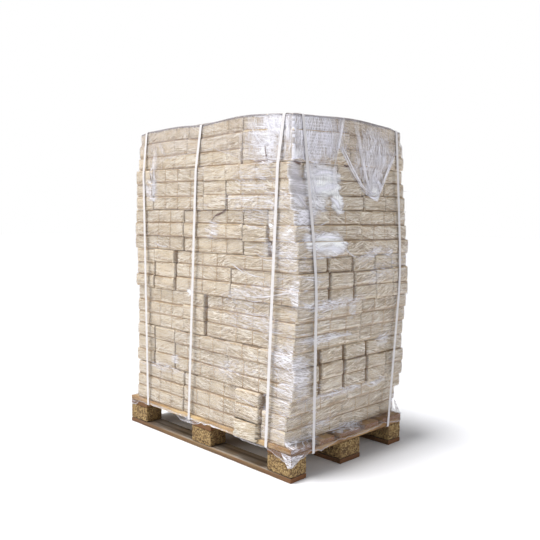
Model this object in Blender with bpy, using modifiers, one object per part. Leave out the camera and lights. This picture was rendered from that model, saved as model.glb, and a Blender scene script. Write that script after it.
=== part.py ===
"""Pallet load of pressed-wood briquettes: 98 film-wrapped packs on a wooden four-way pallet,
under a film top sheet, in stretch film, held by five plastic straps.

Metres, +Z up. The origin is the middle of the pallet's underside, +X runs along its 1200 mm side
and +Y along its 800 mm side. Pieces that touch in the real load are a TOUCH apart.
"""

import math

import bmesh
import bpy
from mathutils import Matrix, Vector

# Pallet: deck boards along X, cross boards along Y, blocks, bottom boards along X.
PALLET_LENGTH = 1.200
PALLET_WIDTH = 0.800
BOARD_THICKNESS = 0.022
WIDE = 0.145
NARROW = 0.100
BLOCK_HEIGHT = 0.078
BOARD_CHAMFER = 0.002
CROSS_BOARD_X = (-(PALLET_LENGTH - WIDE) / 2, 0.0, (PALLET_LENGTH - WIDE) / 2)
BLOCK_ROW_Y = (-(PALLET_WIDTH - NARROW) / 2, 0.0, (PALLET_WIDTH - NARROW) / 2)
BLOCK_ROW_WIDTH = (NARROW, WIDE, NARROW)
DECK_WIDTHS = (WIDE, NARROW, WIDE, NARROW, WIDE)

TOUCH = 0.0003

CROSS_BOTTOM = BOARD_THICKNESS + BLOCK_HEIGHT
DECK_BOTTOM = CROSS_BOTTOM + BOARD_THICKNESS
DECK_TOP = DECK_BOTTOM + BOARD_THICKNESS

# Packs: each holds 12 briquettes, four along and three courses high.
COURSE_HEIGHT = 0.067
COURSES = 3
COURSE_GAP = 0.0025
PACK_GAP = 0.004
LAYER_HEIGHT = COURSES * COURSE_HEIGHT
GAP_DEPTH = 0.020
TOP_GAP_DEPTH = 0.004
PACK_CORNER = 0.006

# The layers from the bottom up, as the stack was laid. In pattern, read from -X to +X, L is a
# stretch of five packs that lie along X, and E a column of two packs that lie along Y.
# x_gaps are the middles of the gaps between those, row_gaps the ones between the five packs,
# and column_gap the one between the two. sides are the outer faces: -X, +X, -Y and +Y.
LAYERS = (
    {
        "pattern": "LLEE", "x_gaps": (-0.157, 0.243, 0.405), "column_gap": -0.003,
        "row_gaps": (-0.226, -0.064, 0.098, 0.262), "sides": (-0.555, 0.565, -0.390, 0.422),
    },
    {
        "pattern": "EELL", "x_gaps": (-0.410, -0.235, 0.172), "column_gap": 0.012,
        "row_gaps": (-0.217, -0.050, 0.118, 0.268), "sides": (-0.567, 0.598, -0.387, 0.411),
    },
    {
        "pattern": "LELE", "x_gaps": (-0.164, 0.006, 0.438), "column_gap": 0.062,
        "row_gaps": (-0.220, -0.060, 0.100, 0.260), "sides": (-0.561, 0.589, -0.380, 0.417),
    },
    {
        "pattern": "EELL", "x_gaps": (-0.410, -0.230, 0.188), "column_gap": 0.010,
        "row_gaps": (-0.190, -0.018, 0.147, 0.279), "sides": (-0.573, 0.622, -0.384, 0.403),
    },
    {
        "pattern": "LLEE", "x_gaps": (-0.156, 0.270, 0.432), "column_gap": 0.052,
        "row_gaps": (-0.228, -0.068, 0.092, 0.252), "sides": (-0.568, 0.598, -0.388, 0.411),
    },
    {
        "pattern": "ELEL", "x_gaps": (-0.404, 0.002, 0.165), "column_gap": 0.016,
        "row_gaps": (-0.232, -0.080, 0.094, 0.264), "sides": (-0.554, 0.569, -0.393, 0.426),
    },
    {
        "pattern": "LLEE", "x_gaps": (-0.152, 0.250, 0.412), "column_gap": 0.000,
        "row_gaps": (-0.218, -0.060, 0.098, 0.257), "sides": (-0.560, 0.566, -0.377, 0.417),
    },
)
LOAD_TOP = DECK_TOP + len(LAYERS) * LAYER_HEIGHT - COURSE_GAP / 2

# Films: the top sheet hangs over the top layer, and the stretch film goes round everything.
FILM = 0.0005
SHEET_DROP = 0.110
SHEET_CLEAR = 0.0005
WRAP_CLEAR = 0.0018
WRAP_BOTTOM = DECK_BOTTOM + 0.004
WRAP_TOP = LOAD_TOP - 0.004
STEP_SLOPE = 0.020
CORNER_SEGMENTS = 2

# Straps: where each crosses the top edge and the bottom edge, along X or along Y.
STRAP_WIDTH = 0.016
STRAP_THICKNESS = 0.0008
CROSS_STRAPS = {
    "strap_across_left": (-0.461, -0.434),
    "strap_across_middle": (-0.035, -0.084),
    "strap_across_right": (0.493, 0.444),
}
LONG_STRAPS = {
    "strap_along_front": (-0.327, -0.255),
    "strap_along_back": (0.344, 0.288),
}


def clear_scene():
    for old in list(bpy.data.objects):
        bpy.data.objects.remove(old, do_unlink=True)


def new_collection(name):
    group = bpy.data.collections.new(name)
    bpy.context.scene.collection.children.link(group)
    return group


def new_material(name, colour, roughness, alpha=1.0):
    material = bpy.data.materials.new(name)
    material.use_nodes = True
    shader = material.node_tree.nodes["Principled BSDF"]
    shader.inputs["Base Color"].default_value = (*colour, 1.0)
    shader.inputs["Roughness"].default_value = roughness
    shader.inputs["Metallic"].default_value = 0.0
    shader.inputs["Alpha"].default_value = alpha
    return material


def add_object(name, mesh_builder, material, group):
    """Link a new object whose mesh comes from a filled bmesh."""
    mesh = bpy.data.meshes.new(name)
    mesh_builder.to_mesh(mesh)
    mesh_builder.free()
    mesh.materials.append(material)
    piece = bpy.data.objects.new(name, mesh)
    group.objects.link(piece)
    return piece


def add_block(builder, low, high):
    """Add a box between two corners, and return its vertices."""
    middle = (Vector(low) + Vector(high)) / 2
    size = Vector(high) - Vector(low)
    place = Matrix.Translation(middle) @ Matrix.Diagonal((*size, 1.0))
    return bmesh.ops.create_cube(builder, size=1.0, matrix=place)["verts"]


def add_board(name, low, high, material, group):
    """A sawn piece with its edges just broken."""
    builder = bmesh.new()
    add_block(builder, low, high)
    board = add_object(name, builder, material, group)
    edges = board.modifiers.new("broken_edges", "BEVEL")
    edges.width = BOARD_CHAMFER
    edges.segments = 1
    edges.limit_method = "ANGLE"
    return board


def build_pallet(group):
    half = PALLET_LENGTH / 2
    deck_wood = new_material("deck_wood", (0.58, 0.40, 0.21), 0.75)
    bottom_wood = new_material("bottom_wood", (0.50, 0.36, 0.20), 0.80)
    chipboard = new_material("chipboard", (0.46, 0.34, 0.22), 0.90)

    for row, (y, width) in enumerate(zip(BLOCK_ROW_Y, BLOCK_ROW_WIDTH)):
        side = ("front", "middle", "back")[row]
        low = (-half, y - width / 2, 0.0)
        high = (half, y + width / 2, BOARD_THICKNESS - TOUCH)
        add_board("bottom_board_" + side, low, high, bottom_wood, group)
        for place, x in zip(("left", "centre", "right"), CROSS_BOARD_X):
            low = (x - WIDE / 2, y - width / 2, BOARD_THICKNESS)
            high = (x + WIDE / 2, y + width / 2, CROSS_BOTTOM - TOUCH)
            add_board("block_" + side + "_" + place, low, high, chipboard, group)

    for place, x in zip(("left", "centre", "right"), CROSS_BOARD_X):
        low = (x - WIDE / 2, -PALLET_WIDTH / 2, CROSS_BOTTOM)
        high = (x + WIDE / 2, PALLET_WIDTH / 2, DECK_BOTTOM - TOUCH)
        add_board("cross_board_" + place, low, high, deck_wood, group)

    space = (PALLET_WIDTH - sum(DECK_WIDTHS)) / (len(DECK_WIDTHS) - 1)
    edge = -PALLET_WIDTH / 2
    for number, width in enumerate(DECK_WIDTHS, start=1):
        low = (-half, edge, DECK_BOTTOM)
        high = (half, edge + width, DECK_TOP - TOUCH)
        add_board("deck_board_" + str(number), low, high, deck_wood, group)
        edge += width + space


def pack_places(layer):
    """Plan rectangles of a layer's packs, and whether each shows on a side of the stack."""
    left, right, front, back = layer["sides"]
    x_edges = [left - PACK_GAP / 2, *layer["x_gaps"], right + PACK_GAP / 2]
    for index, kind in enumerate(layer["pattern"]):
        gaps = layer["row_gaps"] if kind == "L" else (layer["column_gap"],)
        y_edges = [front - PACK_GAP / 2, *gaps, back + PACK_GAP / 2]
        for row in range(len(y_edges) - 1):
            end = index in (0, 3) or row in (0, len(y_edges) - 2)
            low = (x_edges[index] + PACK_GAP / 2, y_edges[row] + PACK_GAP / 2)
            high = (x_edges[index + 1] - PACK_GAP / 2, y_edges[row + 1] - PACK_GAP / 2)
            yield low, high, end


def build_layer(number, layer, bottom, material, group, helpers):
    """One layer of 14 packs as one solid, with the gaps between packs and courses cut in."""
    packs = bmesh.new()
    for low, high, shows in pack_places(layer):
        courses = COURSES if shows else 1
        height = LAYER_HEIGHT / courses
        for course in range(courses):
            z = bottom + course * height + COURSE_GAP / 2
            add_block(packs, (*low, z), (*high, z + height - COURSE_GAP))
    upright = [
        edge for edge in packs.edges
        if abs(edge.verts[0].co.z - edge.verts[1].co.z) > COURSE_HEIGHT / 2
    ]
    bmesh.ops.bevel(packs, geom=upright, offset=PACK_CORNER, segments=1, affect="EDGES")
    shapes = add_object("pack_shapes_" + str(number), packs, material, helpers)
    shapes.hide_render = True
    shapes.display_type = "WIRE"

    left, right, front, back = layer["sides"]
    top = bottom + LAYER_HEIGHT - (TOP_GAP_DEPTH if number == len(LAYERS) else TOUCH)
    core = bmesh.new()
    low = (left + GAP_DEPTH, front + GAP_DEPTH, bottom)
    add_block(core, low, (right - GAP_DEPTH, back - GAP_DEPTH, top))
    stack = add_object("pack_layer_" + str(number), core, material, group)
    join = stack.modifiers.new("packs", "BOOLEAN")
    join.operation = "UNION"
    join.solver = "EXACT"
    join.object = shapes


def corner_loop(builder, sides, spread, z):
    """A ring of vertices round a rectangle, with its corners rounded to fit the packs'."""
    left, right, front, back = sides
    radius = PACK_CORNER + spread
    ring = []
    for turn, (x, y) in enumerate(((right, back), (left, back), (left, front), (right, front))):
        centre_x = x - math.copysign(PACK_CORNER, x)
        centre_y = y - math.copysign(PACK_CORNER, y)
        for step in range(CORNER_SEGMENTS + 1):
            angle = (turn + step / CORNER_SEGMENTS) * math.pi / 2
            reach = radius / math.cos(math.pi / 4 / CORNER_SEGMENTS)
            if step in (0, CORNER_SEGMENTS):
                reach = radius
            point = (centre_x + reach * math.cos(angle), centre_y + reach * math.sin(angle), z)
            ring.append(builder.verts.new(point))
    return ring


def join_rings(builder, rings):
    for lower, upper in zip(rings, rings[1:]):
        for i in range(len(lower)):
            j = (i + 1) % len(lower)
            builder.faces.new((lower[i], lower[j], upper[j], upper[i]))


def wider(first, second):
    return (
        min(first[0], second[0]), max(first[1], second[1]),
        min(first[2], second[2]), max(first[3], second[3]),
    )


def wrap_levels():
    """Heights and plan sizes that the stretch film passes through, from the bottom up."""
    deck = (-PALLET_LENGTH / 2, PALLET_LENGTH / 2, -PALLET_WIDTH / 2, PALLET_WIDTH / 2)
    levels = [(WRAP_BOTTOM, deck)]
    below = deck
    for number, layer in enumerate(LAYERS):
        z = DECK_TOP + number * LAYER_HEIGHT
        levels.append((z, wider(below, layer["sides"])))
        levels.append((z + STEP_SLOPE, layer["sides"]))
        levels.append((z + LAYER_HEIGHT - STEP_SLOPE, layer["sides"]))
        below = layer["sides"]
    levels.append((WRAP_TOP, below))
    return levels


def build_films(group):
    film = new_material("clear_film", (0.93, 0.94, 0.95), 0.15, alpha=0.25)

    builder = bmesh.new()
    rings = [corner_loop(builder, sides, WRAP_CLEAR, z) for z, sides in wrap_levels()]
    join_rings(builder, rings)
    wrap = add_object("stretch_film", builder, film, group)
    skin = wrap.modifiers.new("film", "SOLIDIFY")
    skin.thickness = FILM
    skin.offset = 1.0

    builder = bmesh.new()
    sides = LAYERS[-1]["sides"]
    hem = corner_loop(builder, sides, SHEET_CLEAR, LOAD_TOP - SHEET_DROP)
    rim = corner_loop(builder, sides, SHEET_CLEAR, LOAD_TOP + TOUCH)
    join_rings(builder, [hem, rim])
    builder.faces.new(rim)
    sheet = add_object("top_sheet", builder, film, group)
    skin = sheet.modifiers.new("film", "SOLIDIFY")
    skin.thickness = FILM
    skin.offset = 1.0


def outline_round(points):
    """The tight closed outline round points in a plane, anticlockwise."""
    points = sorted(set(points))
    outline = []
    for sweep in (points, reversed(points)):
        half = []
        for point in sweep:
            while len(half) > 1:
                a, b = half[-2], half[-1]
                if (b[0] - a[0]) * (point[1] - a[1]) - (b[1] - a[1]) * (point[0] - a[0]) > 1e-9:
                    break
                half.pop()
            half.append(point)
        outline += half[:-1]
    return outline


def build_strap(name, places, path, across, material, group):
    """A closed flat band along a path in the XZ or YZ plane, leaning from bottom to top."""
    at_top, at_bottom = places
    lowest = min(z for _, z in path)
    highest = max(z for _, z in path)
    builder = bmesh.new()
    edges = []
    for side in (-STRAP_WIDTH / 2, STRAP_WIDTH / 2):
        ring = []
        for run, z in path:
            lean = at_bottom + (at_top - at_bottom) * (z - lowest) / (highest - lowest)
            point = (lean + side, run, z) if across else (run, lean + side, z)
            ring.append(builder.verts.new(point))
        edges.append(ring)
    join_rings(builder, edges)
    bmesh.ops.recalc_face_normals(builder, faces=builder.faces)
    if sum(face.calc_center_median().z * face.normal.z for face in builder.faces) < 0:
        bmesh.ops.reverse_faces(builder, faces=builder.faces)
    strap = add_object(name, builder, material, group)
    skin = strap.modifiers.new("strap", "SOLIDIFY")
    skin.thickness = STRAP_THICKNESS
    skin.offset = 1.0
    skin.use_even_offset = True


def build_straps(group):
    white_strap = new_material("white_strap", (0.86, 0.86, 0.88), 0.40)
    reach = WRAP_CLEAR + FILM + TOUCH
    rest = LOAD_TOP + 2 * TOUCH + FILM

    edge = SHEET_CLEAR + FILM + TOUCH
    left, right, front, back = LAYERS[-1]["sides"]
    across = [(front - edge, rest), (back + edge, rest)]
    along = [(left - edge, rest), (right + edge, rest)]
    for z, (left, right, front, back) in wrap_levels():
        across += [(front - reach, z), (back + reach, z)]
        along += [(left - reach, z), (right + reach, z)]
    for sign in (-1, 1):
        across.append((sign * (PALLET_WIDTH / 2 + reach), DECK_BOTTOM - TOUCH))
        along.append((sign * (PALLET_LENGTH / 2 + reach), CROSS_BOTTOM - TOUCH))
    over = rest + STRAP_THICKNESS + TOUCH
    for at_top, _ in CROSS_STRAPS.values():
        along += [(at_top - STRAP_WIDTH, over), (at_top + STRAP_WIDTH, over)]

    for name, places in CROSS_STRAPS.items():
        build_strap(name, places, outline_round(across), True, white_strap, group)
    for name, places in LONG_STRAPS.items():
        build_strap(name, places, outline_round(along), False, white_strap, group)


clear_scene()
load = new_collection("pallet_of_briquette_packs")
helpers = new_collection("joined_shapes")
build_pallet(load)
pack_wood = new_material("pack_wood", (0.62, 0.50, 0.36), 0.60)
for index, plan in enumerate(LAYERS):
    level = DECK_TOP + index * LAYER_HEIGHT
    build_layer(index + 1, plan, level, pack_wood, load, helpers)
build_films(load)
build_straps(load)
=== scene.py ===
"""The looks of a pallet load of pressed-wood briquettes: weathered pallet, film-sleeved packs,
top sheet, stretch film and white straps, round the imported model. Metres, +Z up."""

import math

import bmesh
import bpy
import numpy as np
from mathutils import Matrix, Vector, noise


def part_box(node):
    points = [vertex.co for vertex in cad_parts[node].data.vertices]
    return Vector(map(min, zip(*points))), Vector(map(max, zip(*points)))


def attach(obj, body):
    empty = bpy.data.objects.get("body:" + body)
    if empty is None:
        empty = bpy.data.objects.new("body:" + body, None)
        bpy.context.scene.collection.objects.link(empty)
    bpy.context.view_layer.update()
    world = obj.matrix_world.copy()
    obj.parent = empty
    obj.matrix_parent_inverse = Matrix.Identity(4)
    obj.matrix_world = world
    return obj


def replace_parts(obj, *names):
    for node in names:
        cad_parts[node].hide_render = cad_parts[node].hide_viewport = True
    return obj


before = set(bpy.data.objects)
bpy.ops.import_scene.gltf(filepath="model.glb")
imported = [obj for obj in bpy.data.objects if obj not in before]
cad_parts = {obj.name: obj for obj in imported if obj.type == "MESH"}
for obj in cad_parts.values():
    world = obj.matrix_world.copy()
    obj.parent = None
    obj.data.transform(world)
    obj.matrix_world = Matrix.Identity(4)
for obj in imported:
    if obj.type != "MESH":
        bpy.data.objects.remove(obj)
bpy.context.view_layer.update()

# The view: the load stands on a pale studio floor with its front right edge towards the camera,
# which is a little over a metre up, looking slightly down.
CAMERA_PLACE = (2.4773, -2.3933, 1.1288)
YAW, PITCH, ROLL = (math.radians(turn) for turn in (135.28, -4.71, 0.556))
CAMERA_LENS = 44.71
SENSOR = 36.0
scene = bpy.context.scene


def linked(name, data):
    """An object of the scene that shows some data."""
    made = bpy.data.objects.new(name, data)
    scene.collection.objects.link(made)
    return made


ahead = Vector((math.cos(PITCH) * math.cos(YAW), math.cos(PITCH) * math.sin(YAW), math.sin(PITCH)))
across = ahead.cross(Vector((0, 0, 1))).normalized()
upright = Matrix((across, across.cross(ahead), -ahead)).transposed()
camera = linked("camera", bpy.data.cameras.new("camera"))
camera.data.lens, camera.data.sensor_width = CAMERA_LENS, SENSOR
turned = (upright @ Matrix.Rotation(ROLL, 3, "Z")).to_4x4()
camera.matrix_world = Matrix.Translation(CAMERA_PLACE) @ turned
scene.camera = camera

# Light: a white room, a high broad light from the front left that whitens the floor, a soft key on
# the long side and a weak fill on the short side. The room is seen white but lights the load less,
# so the shade keeps its depth. Film is many layers deep, so light may pass through all of them.
ROOM_LIGHT = 0.34
FILM_LAYERS = 32
AIM = Vector((0, 0, 0.7))
HIGH_TURN = (math.radians(14), 0.0, math.radians(-27))
LAMPS = {
    "key_light": ("AREA", (-1.7, -4.8, 3.1), {"size": 4.4, "energy": 163.0, "color": (1.0, 0.97, 0.92)}),
    "fill_light": ("AREA", (4.8, -0.6, 3.0), {"size": 2.8, "energy": 46.5, "color": (0.98, 0.98, 1.0)}),
    "high_light": ("SUN", None, {"angle": math.radians(17), "energy": 3.4}),
}
for name, (kind, place, values) in LAMPS.items():
    lamp = linked(name, bpy.data.lights.new(name, kind))
    for key, value in values.items():
        setattr(lamp.data, key, value)
    lamp.location = place or (0, 0, 0)
    aim = (AIM - lamp.location).to_track_quat("-Z", "Y").to_euler() if place else HIGH_TURN
    lamp.rotation_euler = aim
room = bpy.data.worlds.new("room")
room.use_nodes = True
room_nodes, join = room.node_tree.nodes, room.node_tree.links.new
background = room_nodes["Background"].inputs
background["Color"].default_value = (1.0, 1.0, 1.0, 1.0)
seen = room_nodes.new("ShaderNodeLightPath")
brightness = room_nodes.new("ShaderNodeMapRange")
brightness.inputs["To Min"].default_value = ROOM_LIGHT
join(seen.outputs["Is Camera Ray"], brightness.inputs["Value"])
join(brightness.outputs["Result"], background["Strength"])
scene.world = room
scene.view_settings.view_transform = "Standard"
scene.cycles.transparent_max_bounces = FILM_LAYERS

# Floor: a smooth pale floor, far wider than the view, with the faintest cloudiness. It lies a hair
# below the pallet's underside, so that the two share no face.
FLOOR_SIZE = 60.0
FLOOR_DROP = 0.0002


class Socket:
    """A shader socket that can stand in a sum."""

    def __init__(self, finish, link):
        self.finish, self.link = finish, link

    def maths(self, operation, *values):
        return self.finish.node("Math", 0, dict(enumerate(values)), operation=operation)

    def __add__(self, other):
        return self.maths("ADD", self, other)

    def __sub__(self, other):
        return self.maths("SUBTRACT", self, other)

    def __rsub__(self, other):
        return self.maths("SUBTRACT", other, self)

    def __mul__(self, other):
        return self.maths("MULTIPLY", self, other)

    __radd__, __rmul__ = __add__, __mul__

    def clip(self):
        return self.maths("MINIMUM", self.maths("MAXIMUM", self, 0.0), 1.0)

    def between(self, low, high):
        """0 below low, 1 above high and smooth between."""
        values = {"Value": self, "From Min": low, "From Max": high}
        return self.finish.node("MapRange", 0, values, interpolation_type="SMOOTHSTEP")

    def line(self, low, high):
        """1 halfway from low to high and 0 outside, for thin lines out of soft clouds."""
        middle = (low + high) / 2
        return self.between(low, middle) - self.between(middle, high)


class Finish:
    """A material that grows by nodes and ends in its Principled shader."""

    def __init__(self, name):
        self.material = bpy.data.materials.new(name)
        self.material.use_nodes = True
        self.tree = self.material.node_tree
        self.shader = self.tree.nodes["Principled BSDF"]

    def node(self, kind, output=0, values=None, **settings):
        """A node of some kind: its settings, then the values or links of its sockets."""
        made = self.tree.nodes.new("ShaderNode" + kind)
        for key, value in settings.items():
            if key == "stops":
                ramp = made.color_ramp.elements
                while len(ramp) < len(value):
                    ramp.new(0.5)
                for stop, (place, colour) in zip(ramp, value):
                    stop.position, stop.color = place, (*colour, 1.0)
            else:
                setattr(made, key, value)
        for key, value in (values or {}).items():
            self.feed(made.inputs[key], value)
        return Socket(self, made.outputs[output])

    def feed(self, entry, value):
        if isinstance(value, Socket):
            self.tree.links.new(value.link, entry)
        else:
            entry.default_value = (*value, 1.0) if entry.type == "RGBA" else value

    def set(self, **values):
        for key, value in values.items():
            self.feed(self.shader.inputs[key.replace("_", " ")], value)

    def place(self, uv=None):
        return self.node("UVMap", uv_map=uv) if uv else self.node("TexCoord", "Object")

    def stretch(self, vector, scale, turn=0.0, shift=(0, 0, 0)):
        """A place turned and then scaled, so that a pattern on it is drawn out at that angle."""
        values = {"Vector": vector, "Scale": [1.0 / part for part in scale]}
        values |= {"Rotation": (0, 0, turn), "Location": shift}
        return self.node("Mapping", 0, values, vector_type="TEXTURE")

    def clouds(self, vector, scale=1.0, detail=3.0, rough=0.5, twist=0.0):
        values = {"Vector": vector, "Scale": scale, "Detail": detail, "Roughness": rough}
        return self.node("TexNoise", "Fac", {**values, "Distortion": twist})

    def streaks(self, vector, scale, detail=3.0, rough=0.5, twist=0.0, turn=0.0, shift=(0, 0, 0)):
        """Clouds drawn out by a scale along each way."""
        return self.clouds(self.stretch(vector, scale, turn, shift), 1.0, detail, rough, twist)

    def value(self, name):
        """A number painted on the mesh."""
        return self.node("Attribute", "Fac", attribute_name=name)

    def blend(self, factor, first, second):
        return self.node("Mix", 2, {0: factor, 6: first, 7: second}, data_type="RGBA")

    def tint(self, colour, factor):
        """A colour times a number."""
        return self.node("VectorMath", 0, {"Vector": colour, "Scale": factor}, operation="SCALE")

    def relief(self, height, distance, strength=1.0):
        values = {"Height": height, "Distance": distance, "Strength": strength}
        self.set(Normal=self.node("Bump", "Normal", values))


def built(name, builder):
    """A mesh of what a builder holds."""
    mesh = bpy.data.meshes.new(name)
    builder.to_mesh(mesh)
    builder.free()
    return mesh


pale = Finish("pale_floor")
floor_colour = pale.blend(pale.clouds(pale.place(), 3.0), (0.76, 0.765, 0.79), (0.78, 0.785, 0.81))
pale.set(Base_Color=floor_colour, Roughness=0.8)
builder = bmesh.new()
bmesh.ops.create_grid(builder, x_segments=1, y_segments=1, size=FLOOR_SIZE / 2)
floor = linked("floor", built("floor", builder))
floor.data.materials.append(pale.material)
floor.location.z = -FLOOR_DROP

# Pallet boards: rough-sawn softwood, five on the deck, three across and three underneath. Their
# edges are bruised, their ends split and rust-stained, and each board has its own tone.
BOARD_ROUND = 0.0025
BOARD_STEP = 0.016
SAW_ROUGHNESS = 0.0006
END_ROUGHNESS = 0.0022
END_STAIN = 0.22
QUARTER = math.pi / 2
PLACES = ("left", "centre", "right")
ROWS = ("front", "middle", "back")
DECK = ["deck_board_" + str(number) for number in range(1, 6)]
CROSS = ["cross_board_" + place for place in PLACES]
BOTTOM = ["bottom_board_" + row for row in ROWS]


def cloud(*place):
    """Soft noise about 0 at a place."""
    return noise.noise(Vector(place))


def paint(mesh, key, values, kind="FLOAT", field="value"):
    """Numbers painted on the points of a mesh."""
    layer = mesh.attributes.new(key, kind, "POINT")
    layer.data.foreach_set(field, np.asarray(values, float).ravel())


def dress(made):
    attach(made, "root")
    return made


class Shape:
    """Points, faces and painted numbers, gathered into one mesh."""

    def __init__(self):
        self.points, self.faces, self.painted, self.count = [], [], {}, 0

    def add(self, points, faces, **painted):
        points = np.asarray(points, dtype=float).reshape(-1, 3)
        self.points.append(points)
        self.faces += [[self.count + i for i in face] for face in faces]
        for name, value in painted.items():
            values = np.broadcast_to(np.asarray(value, dtype=float), (len(points),))
            self.painted.setdefault(name, []).append(values)
        self.count += len(points)

    def piece(self, name, material, slot, smooth=50, turn_out=False):
        """The piece itself, smooth where its faces bend by less than an angle in degrees."""
        mesh = bpy.data.meshes.new(name)
        mesh.from_pydata(np.concatenate(self.points).tolist(), [], self.faces)
        for key, parts in self.painted.items():
            paint(mesh, key, np.concatenate(parts))
        if turn_out:
            builder = bmesh.new()
            builder.from_mesh(mesh)
            bmesh.ops.recalc_face_normals(builder, faces=builder.faces)
            builder.to_mesh(mesh)
            builder.free()
        mesh.shade_smooth()
        mesh.set_sharp_from_angle(angle=math.radians(smooth))
        mesh.materials.append(material)
        return dress(linked(name, mesh))


def outline(half_a, half_b, rounding, step):
    """Points anticlockwise round a rounded rectangle about the middle, with spaced sides."""
    arcs = []
    for number, (sign_a, sign_b) in enumerate(((1, -1), (1, 1), (-1, 1), (-1, -1))):
        turn = (number - 1) * QUARTER + np.array((0.0, 0.5, 1.0)) * QUARTER
        arcs.append(np.column_stack([
            sign_a * (half_a - rounding) + rounding * np.cos(turn),
            sign_b * (half_b - rounding) + rounding * np.sin(turn),
        ]))
    points = []
    for arc, following in zip(arcs, arcs[1:] + arcs[:1]):
        pieces = max(1, round(math.dist(arc[-1], following[0]) / step))
        points += [*arc, *np.linspace(arc[-1], following[0], pieces + 1)[1:-1]]
    return np.array(points)


def band_faces(starts, across, closed=True):
    """Faces between rows of points that start at these numbers, in rings or open strips."""
    return [
        (a + i, a + (i + 1) % across, b + (i + 1) % across, b + i)
        for a, b in zip(starts, starts[1:]) for i in range(across - (not closed))
    ]


def ring_faces(rings, around):
    """Faces of a tube of rings, capped at both ends."""
    last = (rings - 1) * around
    caps = [tuple(reversed(range(around))), tuple(range(last, last + around))]
    return band_faces(range(0, rings * around, around), around) + caps


def sawn_board(shape, low, high, axis, seed):
    """A board along X (axis 0) or Y (axis 1), with uneven faces and split ends."""
    low, high = np.array(low), np.array(high)
    middle, half = (low + high) / 2, (high - low) / 2
    side = 1 - axis
    section = outline(half[side], half[2], BOARD_ROUND, BOARD_STEP)
    stations = np.linspace(-half[axis], half[axis], round(2 * half[axis] / BOARD_STEP) + 1)
    points = []
    for run in stations:
        for a, b in section:
            wave = cloud(run * 9, a * 22, b * 60 + seed)
            fine = cloud(run * 35, a * 90 + seed, b * 90)
            edge = abs(a) > half[side] - 2 * BOARD_ROUND
            bruise = max(0.0, cloud(run * 14, seed, b * 40 + a) - 0.25) * 0.004
            point = np.zeros(3)
            point[axis] = run
            point[side] = a * (1 - (0.8 * SAW_ROUGHNESS * (1 + wave) + edge * bruise) / half[side])
            point[2] = b * (1 - (SAW_ROUGHNESS * (1 + 0.6 * wave + 0.5 * fine)) / half[2])
            if abs(run) == half[axis]:
                split = cloud(a * 70, b * 160, seed + run)
                point[axis] -= math.copysign(END_ROUGHNESS * (1 + split), run)
            points.append(middle + point)
    faces = ring_faces(len(stations), len(section))
    if axis == 0:
        faces = [face[::-1] for face in faces]
    ends = np.clip(1 - (half[axis] - np.abs(stations)) / END_STAIN, 0, 1)
    shape.add(
        points, faces, tone=cloud(seed * 3.7, 0.5, 0.5), seed=seed, ends=np.repeat(ends, len(section))
    )


def wood_finish(name, axis, light, dark, stain, stain_share, dust=0.0):
    """Sawn softwood along an axis: grain, latewood lines, knots, stain and dust on its top."""
    wood = Finish(name)

    def drawn_out(along, over):
        return [along if way == axis else over for way in range(3)]

    seed = wood.value("seed")
    moved = wood.node("CombineXYZ", 0, {"X": seed * 0.7, "Y": seed * 1.3})
    place = wood.node("VectorMath", 0, {0: wood.place(), 1: moved}, operation="ADD")
    grain = wood.streaks(place, drawn_out(1.6, 34.0), 5.0, 0.62, 0.4)
    fibre = wood.streaks(place, drawn_out(8.0, 170.0), 3.0, 0.6)
    patch = wood.clouds(place, 7.0, 3.0, 0.6)
    dirt = wood.clouds(place, 26.0, 4.0, 0.65)
    knot_values = {"Vector": wood.stretch(place, drawn_out(5, 9)), "Scale": 1.0}
    knots = wood.node("TexVoronoi", "Distance", knot_values, feature="F1")
    colour = wood.blend(grain.between(0.36, 0.64), dark, light)
    colour = wood.blend((fibre.between(0.52, 0.72) * 0.45).clip(), colour, dark)
    colour = wood.blend(1.0 - knots.between(0.05, 0.13), colour, (0.10, 0.045, 0.018))
    facing = wood.node("NewGeometry", "Normal")
    turned = wood.node("SeparateXYZ", axis, {0: facing})
    upward = wood.node("SeparateXYZ", 2, {0: facing}).between(0.6, 0.9)
    end = turned.maths("ABSOLUTE", turned).between(0.55, 0.85)
    stained = patch.between(0.40, 0.68) * stain_share + wood.value("ends") * dirt * 0.9 + end * 0.5
    colour = wood.blend(stained.clip(), colour, stain)
    colour = wood.blend(dirt.between(0.56, 0.80) * 0.5, colour, (0.16, 0.12, 0.09))
    dusty = upward * (patch.between(0.35, 0.62) * 0.6 + 0.4) * dust
    dust_colour = wood.blend(grain.between(0.42, 0.58), (0.10, 0.088, 0.075), (0.31, 0.285, 0.25))
    colour = wood.tint(wood.blend(dusty, colour, dust_colour), wood.value("tone") * 0.35 + 1.0)
    wood.set(Base_Color=colour, Roughness=fibre.between(0.2, 0.9) * 0.25 + 0.62)
    wood.relief(grain * 0.5 + fibre * 0.5 + dirt * 0.3, 0.0012, 0.7)
    return wood.material


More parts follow.
